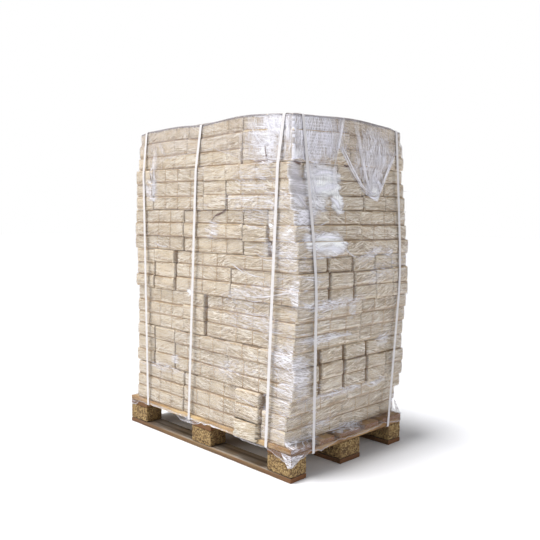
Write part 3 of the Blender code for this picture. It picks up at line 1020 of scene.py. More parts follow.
def reach_at(side, along, level):
    """Reach of the envelope at places along a side and heights, between the stored ones."""
    run, table = RUNS[side], row_reach[side]
    along, level = np.broadcast_arrays(np.asarray(along, float), np.asarray(level, float))
    i = np.clip((along - run[0]) / RUN_STEP, 0, len(run) - 1.001)
    j = np.clip(np.interp(level, row_heights, np.arange(len(row_heights))), 0, len(table) - 1.001)
    i0, j0 = i.astype(int), j.astype(int)
    u, v = i - i0, j - j0
    low = table[j0, i0] * (1 - u) + table[j0, i0 + 1] * u
    high = table[j0 + 1, i0] * (1 - u) + table[j0 + 1, i0 + 1] * u
    return low * (1 - v) + high * v


def ring_at(level, lift, step):
    """A closed ring round the envelope at a height, anticlockwise from the front left corner,
    with the side and the place along it of each point."""
    r = RING_ROUND

    def edge(side, along):
        return SIDES[side][1] * (reach_at(side, along, level) + lift)

    left, right, far_left, far_right = (edge(side, y) for y in (-0.37, 0.38) for side in ("left", "right"))
    centres = np.array((
        (right - r, edge("front", right - 0.02) + r), (far_right - r, edge("back", far_right - 0.02) - r),
        (far_left + r, edge("back", far_left + 0.02) - r), (left + r, edge("front", left + 0.02) + r),
    ))
    points, labels = [], []
    for number, (side, (axis, _)) in enumerate(SIDES.items()):
        first, last = centres[number - 1][1 - axis], centres[number][1 - axis]
        along = np.linspace(first, last, round(SIDE_LENGTH[side] / step))
        out = edge(side, along)
        points += [*np.column_stack((along, out) if axis else (out, along))]
        labels += [(side, place) for place in along]
        following = list(SIDES)[(number + 1) % 4]
        for part in range(1, CORNER_STEPS):
            angle = (number - 1) * QUARTER + part / CORNER_STEPS * QUARTER
            points.append(centres[number] + r * np.array((math.cos(angle), math.sin(angle))))
            labels.append((following, centres[number][axis]))
    return np.array(points), labels


def outward(ring):
    """Unit normals of an anticlockwise ring."""
    way = np.roll(ring, -1, axis=0) - np.roll(ring, 1, axis=0)
    normal = np.stack([way[:, 1], -way[:, 0]], axis=1)
    return normal / np.maximum(np.linalg.norm(normal, axis=1, keepdims=True), 1e-9)


def gathering(ring):
    """How much film gathers at each point of a ring: most at the upright corners."""
    normal = outward(ring)
    bend = np.abs(normal[:, 0] * normal[:, 1]) * 2
    ends = np.concatenate([bend[-6:], bend, bend[:6]])
    return np.clip(np.convolve(ends, np.ones(13) / 13, "valid") * 3, 0, 1)


def patch_values(patches, labels, levels):
    """For each place of a ring, the sum of the soft-edged patches that cover it. A patch has its
    place along the side and its height, its half width and half height, its tilt and strength."""
    sums = []
    for (side, along), level in zip(labels, levels):
        total = 0.0
        for a, z, half_a, half_z, tilt, strength in patches.get(side, ()):
            da, dz = along - a, level - z
            u = (da * math.cos(tilt) + dz * math.sin(tilt)) / half_a
            v = (-da * math.sin(tilt) + dz * math.cos(tilt)) / half_z
            total += strength * max(0.0, 1 - (u * u + v * v)) ** 0.7
        sums.append(total)
    return np.array(sums)


RIBBON_STEP = 0.007
RIBBON_ACROSS = np.array((-1.0, -0.5, 0.0, 0.5, 1.0))
RIBBON_RISE = 0.0007
EASE = 9


def add_ribbon(shape, side, path, width, strength, lift, wander=0.002, seed=0.0, span=0):
    """A raised crease of film along a path of (along, height) points, feathered at its edges. A
    negative strength makes it a shaded fold, and a span bridges the steps under it."""
    path = np.array(path, float)
    legs = np.linalg.norm(np.diff(path, axis=0), axis=1)
    length = legs.sum()
    stations = np.linspace(0, length, max(3, round(length / RIBBON_STEP)))
    marks = np.concatenate([[0], np.cumsum(legs)])
    eased = []
    for column, shift in ((0, 0.0), (1, 7.0)):
        line = np.interp(stations, marks, path[:, column])
        line += [wander * cloud(run * 35, seed, shift) for run in stations]
        line = np.pad(line, EASE // 2, mode="reflect", reflect_type="odd")
        eased.append(np.convolve(line, np.ones(EASE) / EASE, "valid"))
    a, z = eased
    way = np.stack([np.gradient(a), np.gradient(z)], axis=1)
    way /= np.maximum(np.linalg.norm(way, axis=1, keepdims=True), 1e-9)
    taper = np.array([
        math.sin(math.pi * min(1, max(0, (run + 0.004) / (length + 0.008)))) ** 0.4 for run in stations
    ])
    wide = np.array([width * (0.7 + 0.5 * cloud(run * 22, seed, 3.0)) for run in stations]) * taper
    pa = a[:, None] - way[:, 1:] * RIBBON_ACROSS * wide[:, None]
    pz = z[:, None] + way[:, :1] * RIBBON_ACROSS * wide[:, None]
    if span:
        here = neighbours(neighbours(reach_at(side, a, z), span).max(axis=1), span).mean(axis=1)[:, None]
    else:
        here = reach_at(side, pa, pz)
    axis, sign = SIDES[side]
    out = sign * (here + lift + RIBBON_RISE * (1 - RIBBON_ACROSS * RIBBON_ACROSS))
    fold = ((1 - np.abs(RIBBON_ACROSS)) * abs(strength) * taper[:, None]).ravel()
    count = len(RIBBON_ACROSS)
    faces = band_faces(range(0, len(stations) * count, count), count, closed=False)
    if side in ("front", "right"):
        faces = [face[::-1] for face in faces]
    shape.add(
        np.stack((pa, out, pz) if axis else (out, pa, pz), axis=-1), faces, fold=fold,
        shade=fold * (strength < 0), around=np.repeat(around_at(side, a), count),
        level=np.repeat(z, count),
    )


def mesh_points(mesh):
    points = np.empty(len(mesh.vertices) * 3)
    mesh.vertices.foreach_get("co", points)
    return points.reshape(-1, 3)


# Painted shade in the gaps: the packs and sleeves are painted by their depth behind the envelope, and
# darken with it.
for made in layer_pieces + sleeve_pieces:
    x, y, z = mesh_points(made.data).T
    paint(made.data, "depth", np.minimum.reduce([
        reach_at("front", x, z) + y, reach_at("right", y, z) - x,
        reach_at("back", x, z) - y, reach_at("left", y, z) + x, top_high.z - z + 0.004,
    ]))

# The straps and film have drawn the corners of the top layer down a little, each strap has pressed
# a dent where it bends over the top edge, and the top bulges between: place, depth and reach.
TOP_CORNERS = (
    (-0.57, -0.385, 0.012, 0.12), (0.575, -0.385, 0.006, 0.08), (0.575, 0.41, 0.013, 0.1),
    (-0.57, 0.41, 0.01, 0.1), (-0.044, -0.378, 0.003, 0.07), (0.509, -0.378, 0.004, 0.05),
    (0.57, -0.311, 0.004, 0.05), (0.565, 0.358, 0.005, 0.06), (-0.484, 0.405, 0.006, 0.06),
    (-0.044, 0.405, 0.007, 0.07), (0.509, 0.405, 0.005, 0.06), (-0.55, -0.311, 0.004, 0.05),
    (-0.55, 0.358, 0.005, 0.06), (0.24, -0.38, -0.017, 0.32), (-0.24, -0.38, -0.007, 0.28),
    (0.57, 0.03, -0.014, 0.34),
)
CUT_STEP = 0.04


def settle(points):
    """Points of the top layer, lowered near its corners."""
    points = np.array(points, float).reshape(-1, 3)
    drop = np.zeros(len(points))
    for x, y, depth, reach in TOP_CORNERS:
        near = np.clip(1 - np.hypot(points[:, 0] - x, points[:, 1] - y) / reach, 0, 1)
        drop += depth * near * near * (3 - 2 * near)
    points[:, 2] -= drop * np.clip((points[:, 2] - TOP_BASE) / 0.2, 0, 1)
    return points


def settle_mesh(mesh, cut=False):
    """Lowers a mesh with the top layer, its wide faces cut first so that they can bend."""
    if cut:
        builder = bmesh.new()
        builder.from_mesh(mesh)
        for axis, way in enumerate((Vector((1, 0, 0)), Vector((0, 1, 0)))):
            for place in np.arange(top_low[axis], top_high[axis], CUT_STEP):
                parts = [*builder.verts, *builder.edges, *builder.faces]
                bmesh.ops.bisect_plane(builder, geom=parts, plane_co=way * place, plane_no=way)
        builder.to_mesh(mesh)
        builder.free()
    mesh.vertices.foreach_set("co", settle(mesh_points(mesh)).ravel())
    mesh.update()


settle_mesh(layer_pieces[-1].data, True)
settle_mesh(sleeve_pieces[-1].data)

# Top sheet: one loose piece of thin clear film laid over the top layer before winding. It hangs
# down the sides, pleated at its edge, and on the right side one flap is pulled into a deep V.
SHEET_LIFT = 0.0020
FILM_LIFT = 0.0030
SHEET_TOP = 0.0009
SHEET_RIM = top_high.z - 0.004
SHEET_RUFFLE = 0.006
SHEET_STEP = 0.006
SHEET_ROWS = 30
SHEET_ROUND = 0.008
SHEET_LEVELS = np.linspace(1.16, 1.545, 36)
# Over the rim and across the top the sheet goes in rings that shrink to the middle.
TOP_RINGS = (
    1, 0.985, 0.965, 0.94, 0.91, 0.875, 0.83, 0.78, 0.72, 0.65, 0.57, 0.48, 0.38, 0.27, 0.15, 0.02,
)
# The hem's height along each side, as pairs of place and height.
HEMS = {
    "front": (
        -0.6, 1.45, -0.46, 1.44, -0.42, 1.36, -0.39, 1.215, -0.36, 1.3, -0.31, 1.4, 0.05, 1.43,
        0.25, 1.37, 0.45, 1.35, 0.6, 1.36,
    ),
    "right": (
        -0.4, 1.355, -0.32, 1.362, -0.2, 1.345, -0.13, 1.352, -0.09, 1.425, 0, 1.335, 0.09, 1.235,
        0.15, 1.203, 0.18, 1.196, 0.22, 1.245, 0.28, 1.335, 0.33, 1.43, 0.4, 1.44,
    ),
    "back": (-0.6, 1.42, -0.2, 1.38, 0.1, 1.43, 0.35, 1.36, 0.6, 1.39),
    "left": (-0.4, 1.4, -0.15, 1.43, 0.1, 1.37, 0.4, 1.41),
}
# Where the sheet is hazy, where it is milky and where its woven grid shows. Some, high by the near corner,
# are painted glare.
SHEET_PATCHES = {
    "right": [
        (-0.27, 1.46, 0.16, 0.14, 0, 0.85), (-0.1, 1.47, 0.1, 0.13, 0.2, 0.6),
        (0.17, 1.24, 0.07, 0.07, 0, 0.9), (0.17, 1.38, 0.17, 0.16, 0, 0.72),
        (-0.37, 1.46, 0.06, 0.14, 0, 0.4), (-0.36, 1.385, 0.06, 0.035, 0.1, 0.9),
    ],
    "front": [
        (-0.4, 1.33, 0.05, 0.17, 0, 0.45), (0.42, 1.46, 0.22, 0.12, 0, 0.55),
        (0.52, 1.5, 0.09, 0.05, -0.3, 0.7),
    ],
    "back": [
        (0.2, 1.46, 0.3, 0.1, 0, 0.5),
    ],
    "left": [
        (0, 1.45, 0.3, 0.08, 0, 0.5),
    ],
}
SHEET_MILK = {
    "right": [
        (0.172, 1.226, 0.036, 0.036, 0, 0.8), (0.165, 1.28, 0.035, 0.08, 0, 0.35),
        (-0.35, 1.385, 0.04, 0.022, 0.1, 0.5),
    ],
    "front": [
        (0.44, 1.5, 0.12, 0.045, -0.1, 0.5),
    ],
}
GRID_PATCHES = {
    "right": [
        (-0.22, 1.45, 0.12, 0.14, 0, 1.1), (0.16, 1.42, 0.22, 0.14, 0, 0.35),
    ],
}
# Pleats come in bundles: spread at start and end, number, half width, strength, and then the path as
# pairs of place and height.
BUNDLES = {
    "right": [
        (0.032, 0.014, 6, 0.0015, 0.95, 0.026, 1.545, 0.062, 1.43, 0.104, 1.32, 0.155, 1.212),
        (0.034, 0.014, 6, 0.0017, 0.85, -0.085, 1.435, 0, 1.345, 0.085, 1.262, 0.16, 1.206),
        (0.024, 0.016, 6, 0.0016, 1, 0.34, 1.445, 0.29, 1.36, 0.24, 1.275, 0.188, 1.206),
        (0.22, 0.03, 15, 0.002, 0.4, 0.175, 1.545, 0.17, 1.38, 0.165, 1.225),
        (0.11, 0.04, 9, 0.0022, 0.36, 0.24, 1.53, 0.225, 1.38, 0.185, 1.26),
        (0.13, 0.06, 15, 0.0022, 0.46, -0.13, 1.545, -0.125, 1.45, -0.135, 1.355),
        (0.02, 0.012, 6, 0.0018, 0.9, -0.055, 1.545, -0.08, 1.46, -0.112, 1.36),
        (0.06, 0.08, 7, 0.0024, 0.4, -0.2, 1.5, -0.23, 1.43, -0.27, 1.37),
        (0.03, 0.034, 6, 0.0016, 0.4, -0.352, 1.53, -0.345, 1.45, -0.352, 1.37),
        (0.02, 0.02, 5, 0.006, 0.55, 0.13, 1.218, 0.165, 1.208, 0.205, 1.22),
        (0.01, 0.01, 4, 0.006, 0.45, 0.15, 1.235, 0.168, 1.222, 0.19, 1.232),
        (0.02, 0.04, 6, 0.0024, 0.42, -0.105, 1.37, -0.12, 1.3, -0.11, 1.19),
        (0.08, 0.1, 9, 0.0024, 0.38, -0.18, 1.37, -0.2, 1.3, -0.19, 1.23),
        (0.03, 0.05, 6, 0.0028, 0.42, -0.27, 1.36, -0.265, 1.28, -0.24, 1.18),
    ],
    "front": [
        (0.036, 0.02, 5, 0.0018, 0.3, -0.415, 1.5, -0.385, 1.43, -0.4, 1.33, -0.385, 1.22),
        (0.03, 0.02, 4, 0.0032, 0.28, -0.37, 1.49, -0.335, 1.44, -0.305, 1.41),
        (0.03, 0.03, 4, 0.0034, 0.28, -0.47, 1.29, -0.44, 1.24, -0.41, 1.2),
        (0.06, 0.08, 7, 0.0028, 0.36, 0.3, 1.53, 0.35, 1.46, 0.42, 1.4),
        (0.08, 0.06, 7, 0.0034, 0.42, 0.42, 1.54, 0.44, 1.49, 0.49, 1.44),
        (0.012, 0.016, 4, 0.0022, 0.45, 0.54, 1.535, 0.535, 1.49, 0.542, 1.43),
    ],
    "back": [
        (0.16, 0.05, 12, 0.0028, 0.4, 0.2, 1.54, 0.15, 1.46, 0.12, 1.42),
        (0.16, 0.05, 10, 0.0028, 0.36, -0.35, 1.54, -0.3, 1.46, -0.28, 1.43),
    ],
    "left": [
        (0.14, 0.05, 12, 0.0028, 0.4, 0.05, 1.54, 0.07, 1.46, 0.09, 1.38),
    ],
}
# How far the first pleat of a bundle lies off the packs, and each next one off the one before.
PLEAT_LIFT = 0.0033
NEXT_PLEAT = 0.0001


def film_material(name, base, tilt, haze_gain):
    """Clear film: unseen where smooth, milky where slack, painted highlights and shade on creases."""
    film = Finish(name)
    place = film.place("wrap")
    cross = film.streaks(place, (5, 110, 1), 3.0, 0.55, 0.5, tilt)
    steep = film.streaks(place, (7, 95, 1), 3.0, 0.55, 0.5, tilt + 0.42)
    back = film.streaks(place, (7, 95, 1), 3.0, 0.55, 0.5, tilt - 0.38)
    where = film.streaks(place, (5, 9, 1), 2.0)
    other = film.streaks(place, (7, 5, 1), 2.0, shift=(3.0, 5.0, 0.0))
    edge = film.streaks(place, (30, 60, 1), turn=tilt)
    # Painted highlights on the crease crests and painted shade in their grooves.
    crest_glint = cross.line(0.50, 0.59) + steep.line(0.51, 0.59) * where.between(0.42, 0.58)
    crest_glint = (crest_glint + back.line(0.51, 0.59) * other.between(0.42, 0.58)).clip()
    groove_shade = (cross.line(0.42, 0.50) + steep.line(0.42, 0.50) * where.between(0.40, 0.56)).clip()
    haze, milk, fold, rim = (film.value(key) for key in ("haze", "milk", "fold", "rim"))
    veil = (haze + (edge - 0.5) * haze.between(0.0, 0.25) * 0.9).between(0.06, 0.85)
    milk = (milk + (edge + where - 1.0) * milk.between(0.0, 0.3) * 0.8).between(0.10, 1.0)
    veil = (veil + milk * 0.4).clip()
    facing = film.node("LayerWeight", "Facing", {"Blend": 0.3})
    cover = crest_glint * (veil * 0.62 + 0.05) + veil * haze_gain + milk * (edge * 0.2 + 0.58)
    # Painted sheen: the film grows more opaque and pale where it is seen edge-on.
    cover = cover + fold * (edge * 0.8 + 0.7) + groove_shade * 0.09 + facing * 0.12 + rim * 0.55 + base
    # Painted shade and highlights: the film's colour runs from brown in the grooves to pale at crests,
    # milk and folds.
    light_side = (crest_glint + veil * 0.6 + milk + fold * 2.0 + (1.0 - groove_shade) * 0.35).clip()
    pale = film.blend(milk, (0.86, 0.86, 0.94), (0.91, 0.925, 0.93))
    colour = film.blend(light_side, (0.34, 0.25, 0.18), pale)
    # Painted shade of the dark folds and shaded patches.
    colour = film.blend(film.value("shade").between(0.0, 0.4), colour, (0.13, 0.075, 0.065))
    colour = film.blend(rim * 0.85, colour, (0.17, 0.16, 0.19))
    film.set(Base_Color=colour, Roughness=0.25, Alpha=cover.clip())
    film.relief(cross * 0.5 + steep * 0.3 + back * 0.3, 0.005, 0.8)
    return film


sheet_film = film_material("sheet_film", 0.08, math.radians(86), 0.24)
# The woven grid, over part of the right side.
grid_place = sheet_film.place("wrap")
bars = [
    sheet_film.node("TexWave", "Fac", {
        "Vector": grid_place, "Scale": scale, "Distortion": 0.6, "Detail": 1.0,
    }, wave_type="BANDS", bands_direction=direction).between(low, 0.95)
    for direction, scale, low in (("X", 32.0, 0.72), ("Y", 24.0, 0.75))
]
grid = bars[0].maths("MAXIMUM", *bars)
plain_alpha = Socket(sheet_film, sheet_film.shader.inputs["Alpha"].links[0].from_socket)
sheet_film.set(Alpha=(plain_alpha + grid * sheet_film.value("grid") * 0.45).clip())


def hem_round(labels, hems, ruffle):
    """How far round the load each place of a ring is, and how high a ragged hem hangs there."""
    around = np.array([around_at(side, along) for side, along in labels])
    levels = [float(np.interp(along, hems[side][::2], hems[side][1::2])) for side, along in labels]
    ragged = [
        ruffle * cloud(way * 28, 4.0, 0.0) + 0.3 * ruffle * cloud(way * 90, 8.0, 0.0)
        for way in around
    ]
    return around, np.array(levels) + ragged


sheet_shape = Shape()
sheet_rings = np.array([ring_at(level, SHEET_LIFT, SHEET_STEP)[0] for level in SHEET_LEVELS])
top_ring, labels = ring_at(SHEET_RIM, SHEET_LIFT, SHEET_STEP)
count = len(top_ring)
here = np.arange(count)
sheet_level = top_high.z + SHEET_TOP
around, hems = hem_round(labels, HEMS, SHEET_RUFFLE)
last = len(SHEET_LEVELS) - 1
for row in range(SHEET_ROWS + 1):
    drop = sheet_level - SHEET_ROUND - row / SHEET_ROWS * (sheet_level - SHEET_ROUND - hems)
    between = np.clip(np.interp(drop, SHEET_LEVELS, range(last + 1)), 0, last - 0.001)
    below = between.astype(int)
    share = (between - below)[:, None]
    flat = (1 - share) * sheet_rings[below, here] + share * sheet_rings[below + 1, here]
    sheet_shape.add(
        np.column_stack([flat, drop]), [], fold=0.30 * (row == SHEET_ROWS), rim=row == 0,
        haze=patch_values(SHEET_PATCHES, labels, drop) + 0.25 * gathering(top_ring),
        grid=patch_values(GRID_PATCHES, labels, drop), milk=patch_values(SHEET_MILK, labels, drop),
        around=around, level=drop,
    )
inset = outward(top_ring) * SHEET_ROUND
centre = top_ring.mean(axis=0)
inner = [(top_ring - inset * 0.30, sheet_level - SHEET_ROUND * 0.30)]
inner += [(centre + (top_ring - inset - centre) * scale, sheet_level) for scale in TOP_RINGS]
for number, (ring, level) in enumerate(inner):
    sheet_shape.add(
        np.column_stack([ring, np.full(count, level)]), [], fold=0.0, rim=number == 0, haze=0.30,
        grid=0.0, milk=0.0, around=ring[:, 0] + 10, level=ring[:, 1],
    )
first_in = (SHEET_ROWS + 1) * count
starts = [0, *range(first_in, first_in + len(inner) * count, count)]
sheet_shape.faces = [(a, d, c, b) for a, b, c, d in band_faces(range(0, first_in, count), count)]
sheet_shape.faces += band_faces(starts, count)
sheet = wrapped_piece(sheet_shape, "top_sheet_film", sheet_film.material)
settle_mesh(sheet.data)
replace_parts(sheet, "top_sheet")

pleat_shape = Shape()
pleat_rng = np.random.default_rng(11)
for side, bundles in BUNDLES.items():
    for first_spread, last_spread, number, width, strength, *path in bundles:
        path = np.reshape(path, (-1, 2))
        spreads = np.linspace(first_spread, last_spread, len(path))
        for index in range(number):
            share = (index + 0.5) / number - 0.5 + pleat_rng.uniform(-0.2, 0.2) / number
            run = path.copy()
            run[:, 0] += share * spreads
            run[:, 1] += pleat_rng.uniform(-0.004, 0.004, len(path))
            run[-1, 1] += pleat_rng.uniform(0.0, 0.03) * (number > 5)
            add_ribbon(
                pleat_shape, side, run, 1.15 * width * pleat_rng.uniform(0.7, 1.3),
                1.5 * strength * pleat_rng.uniform(0.6, 1.2), PLEAT_LIFT + NEXT_PLEAT * index,
                wander=0.0008, seed=pleat_rng.uniform(0, 90), span=9,
            )
pleats = wrapped_piece(pleat_shape, "top_sheet_pleats", sheet_film.material)
settle_mesh(pleats.data)

# Stretch film: several turns of thin clear film wound tight round the load and down over the
# deck's edges, where its lower edge hangs ragged. It is milky where the turns lie slack.
FILM_STEP = 0.0085
FILM_RUFFLE = 0.010
FILM_STIR = 0.0010
FILM_TOP = top_high.z - 0.0035
DECK_LIFT = 0.0012
DECK_HALF = (0.6, 0.4)
DECK_FILM = 0.1450
FOOT_LEVEL = 0.176
FOOT_SPREAD = 1.04
# Beyond these places of the foot, along X and Y, the film lies on the deck's corner below.
CORNER_FROM = (0.535, 0.372)
# Rows from the ragged lower edge up to the deck, by their share of the drop.
HEM_PARTS = (1.0, 0.8, 0.6, 0.45, 0.3, 0.15, 0.0)
# Rows from the deck's edge in to the packs: share of the way and height.
FOOT_RISE = (
    (0.15, 0.1465), (0.40, 0.1475), (0.62, 0.1505), (0.80, 0.156), (0.93, 0.165), (1.0, FOOT_LEVEL),
)
BOTTOM_HEMS = {
    "front": (
        -0.6, 0.098, -0.53, 0.101, -0.5, 0.124, -0.2, 0.128, -0.15, 0.104, -0.04, 0.106, 0, 0.126,
        0.22, 0.128, 0.3, 0.112, 0.45, 0.118, 0.52, 0.09, 0.6, 0.062,
    ),
    "right": (
        -0.4, 0.06, -0.33, 0.088, -0.27, 0.112, -0.2, 0.098, -0.1, 0.118, 0.1, 0.108, 0.25, 0.122,
        0.36, 0.104, 0.4, 0.108,
    ),
    "back": (-0.6, 0.11, -0.2, 0.125, 0.1, 0.102, 0.35, 0.124, 0.6, 0.108),
    "left": (-0.4, 0.1, -0.1, 0.12, 0.15, 0.105, 0.4, 0.098),
}
# Where the film is hazy and where it is milky; some of these places, by the near corner, are painted
# glare.
FILM_PATCHES = {
    "front": [
        (0.4, 1.44, 0.16, 0.11, -0.2, 0.55), (0.46, 1.52, 0.15, 0.05, 0, 0.4),
        (0.4, 1.17, 0.24, 0.09, 0.1, 0.35), (0.48, 0.98, 0.17, 0.12, 0.2, 0.4),
        (0.35, 1.3, 0.16, 0.06, 0, 0.35), (0.33, 0.79, 0.28, 0.06, 0.25, 0.4),
        (0.57, 0.8, 0.08, 0.06, 0, 0.9), (0.52, 0.5, 0.14, 0.1, 0, 0.5),
        (0.53, 0.37, 0.1, 0.06, 0.1, 0.6), (0.3, 0.66, 0.2, 0.06, 0, 0.35),
        (0.2, 0.42, 0.3, 0.05, 0.05, 0.25), (-0.32, 0.34, 0.22, 0.03, 0, 0.35),
        (-0.23, 0.4, 0.04, 0.03, 0, 0.6), (-0.42, 1.24, 0.06, 0.07, 0, 0.5),
        (0, 1.25, 0.55, 0.3, 0, 0.12), (0, 0.55, 0.6, 0.4, 0, 0.1),
        (0.05, 1.06, 0.06, 0.05, 0.6, 0.5), (-0.12, 0.75, 0.03, 0.02, 0, 0.8),
        (0.12, 0.124, 0.32, 0.012, -0.02, 0.9), (-0.3, 0.13, 0.16, 0.01, 0, 0.6),
        (0.55, 0.6, 0.14, 0.7, 0, 0.14), (0.5, 0.24, 0.13, 0.1, 0, 0.25),
    ],
    "right": [
        (-0.36, 1.18, 0.09, 0.13, 0.5, 0.8), (-0.375, 1.265, 0.06, 0.1, 0, 0.8),
        (-0.26, 1.25, 0.06, 0.13, -0.3, 0.9), (-0.18, 1.3, 0.12, 0.045, 0, 1.3),
        (-0.17, 1.245, 0.1, 0.03, 0, 0.9), (-0.11, 1.175, 0.045, 0.05, -0.2, 1.2),
        (-0.25, 1.17, 0.1, 0.04, 0, 0.6), (-0.2, 1.035, 0.12, 0.025, 0, 1.2),
        (-0.2, 0.99, 0.14, 0.05, 0.1, 0.9), (-0.32, 1.02, 0.05, 0.04, 0.4, 0.8),
        (0.1, 0.955, 0.1, 0.03, 0.3, 0.55), (0.22, 0.96, 0.05, 0.03, 0, 0.55),
        (-0.15, 0.745, 0.25, 0.03, 0.05, 0.45), (-0.03, 0.71, 0.03, 0.05, 0, 0.5),
        (-0.2, 0.595, 0.2, 0.02, 0, 0.7), (-0.35, 0.45, 0.08, 0.1, 0.3, 0.45),
        (0.22, 0.54, 0.06, 0.04, 0, 0.55), (-0.1, 0.335, 0.22, 0.025, 0, 0.55),
        (0.2, 0.335, 0.08, 0.025, 0, 0.5), (-0.2, 0.2, 0.12, 0.03, 0, 0.6),
        (-0.3, 0.155, 0.14, 0.03, 0, 0.6), (0, 0.155, 0.12, 0.02, 0, 0.6),
        (0.2, 0.88, 0.2, 0.06, 0.4, 0.25), (0, 0.6, 0.6, 0.9, 0, 0.12),
        (-0.36, 0.8, 0.14, 0.7, 0, 0.12), (0.385, 0.19, 0.035, 0.06, 0, 0.8),
    ],
    "back": [
        (0, 0.9, 0.7, 0.7, 0, 0.3),
    ],
    "left": [
        (0, 0.9, 0.5, 0.7, 0, 0.3),
    ],
}
MILK_PATCHES = {
    "right": [
        (-0.165, 1.29, 0.115, 0.065, 0.1, 0.85), (-0.175, 1.235, 0.105, 0.05, 0.05, 0.75),
        (-0.11, 1.185, 0.04, 0.055, -0.1, 0.95), (-0.215, 1.175, 0.075, 0.026, 0, 0.6),
        (-0.275, 1.26, 0.035, 0.11, 0.1, 0.6), (-0.33, 1.19, 0.07, 0.06, 0.5, 0.35),
        (-0.185, 1, 0.12, 0.052, 0, 0.95), (-0.2, 1.036, 0.06, 0.012, 0, 0.8),
        (-0.315, 1.018, 0.045, 0.022, 0.3, 0.8), (-0.33, 0.755, 0.08, 0.014, 0.2, 0.6),
        (-0.35, 0.155, 0.06, 0.02, 0, 0.25), (-0.14, 0.594, 0.05, 0.012, 0, 0.9),
    ],
    "front": [
        (0.375, 1.47, 0.1, 0.04, -0.3, 0.5), (0.375, 1.4, 0.05, 0.025, 0.1, 0.45),
        (0.46, 1.52, 0.1, 0.025, 0, 0.35), (0.585, 0.79, 0.045, 0.035, 0, 0.9),
        (0.52, 1.06, 0.05, 0.015, 0.3, 0.4), (0.42, 1.085, 0.018, 0.01, 0, 0.6),
        (-0.125, 0.75, 0.018, 0.014, 0, 0.9),
    ],
}
# Places over the courses by the near corner where painted shade darkens the film.
SHADE_PATCHES = {
    "right": [
        (-0.345, 1.265, 0.045, 0.12, 0, 0.38), (-0.34, 0.42, 0.05, 0.17, 0.2, 0.12),
        (-0.3, 1.12, 0.08, 0.04, 0.2, 0.25),
    ],
}
# The far sides are wound like the seen ones. For each: half its length and the number of slack
# places, then for its slack and for its milky places the ranges that their values are drawn from.
FAR_SIDES = {"back": (0.56, 20), "left": (0.36, 14)}
SLACK_RANGES = ((0.18, 1.5), (0.06, 0.26), (0.02, 0.09), (-0.4, 0.4), (0.25, 0.75))
MILKY_RANGES = ((0.3, 1.45), (0.03, 0.10), (0.012, 0.045), (-0.4, 0.4), (0.5, 0.95))
far_rng = np.random.default_rng(31)
for side, (half, number) in FAR_SIDES.items():
    for patches, ranges, times in (
        (FILM_PATCHES, SLACK_RANGES, number), (MILK_PATCHES, MILKY_RANGES, number // 5),
    ):
        patches.setdefault(side, []).extend(
            [far_rng.uniform(*limits) for limits in ((-half, half), *ranges)] for _ in range(times)
        )


def deck_point(side, along):
    """The place on the deck's edge below a place along a side."""
    axis, sign = SIDES[side]
    limit = DECK_HALF[1 - axis] + DECK_LIFT
    place = [0.0, 0.0]
    place[axis] = sign * (DECK_HALF[axis] + DECK_LIFT)
    place[1 - axis] = max(-limit, min(limit, along * FOOT_SPREAD))
    return place


foot_ring, labels = ring_at(FOOT_LEVEL, FILM_LIFT, FILM_STEP)
count = len(foot_ring)
around, hems = hem_round(labels, BOTTOM_HEMS, FILM_RUFFLE)
deck_ring = np.array([deck_point(side, along) for side, along in labels])
corner_ring = np.sign(foot_ring) * (np.array(DECK_HALF) + DECK_LIFT)
deck_ring = np.where(np.abs(foot_ring) > CORNER_FROM, corner_ring, deck_ring)
film_rows = [(deck_ring, DECK_FILM + part * (hems - DECK_FILM)) for part in HEM_PARTS]
for part, level in FOOT_RISE:
    film_rows.append((deck_ring + (foot_ring - deck_ring) * part, np.full(count, level)))
for level in (*row_heights[row_heights > FOOT_LEVEL], FILM_TOP):
    film_rows.append((ring_at(level, FILM_LIFT, FILM_STEP)[0], np.full(count, level)))
film_shape = Shape()
for number, (ring, level) in enumerate(film_rows):
    stir = [FILM_STIR * (cloud(a * 45, z * 70, 1.0) - 0.3) for a, z in zip(around, level)]
    on_packs = number > len(HEM_PARTS) + 1
    placed = ring + outward(ring) * (np.array(stir)[:, None] if on_packs else 0.0)
    # Painted shade: the film is darker and more opaque in these places.
    shade_patch = patch_values(SHADE_PATCHES, labels, level)
    film_shape.add(
        np.column_stack([placed, level]), [], milk=patch_values(MILK_PATCHES, labels, level),
        haze=patch_values(FILM_PATCHES, labels, level) + 0.22 * gathering(ring),
        shade=shade_patch * 0.42, fold=shade_patch + 0.35 * (number == 0), around=around, level=level,
    )
film_shape.faces = band_faces(range(0, len(film_rows) * count, count), count)
stretch_film = film_material("stretch_film", 0.03, -0.06, 0.18)
wound = wrapped_piece(film_shape, "wound_film", stretch_film.material)
settle_mesh(wound.data)
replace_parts(wound, "stretch_film")

# Creases of the wound film: bands that ran from one turn to the next and gathered as they were
# drawn over the corners, raised a little from the film.
CREASE_LIFT = 0.0032
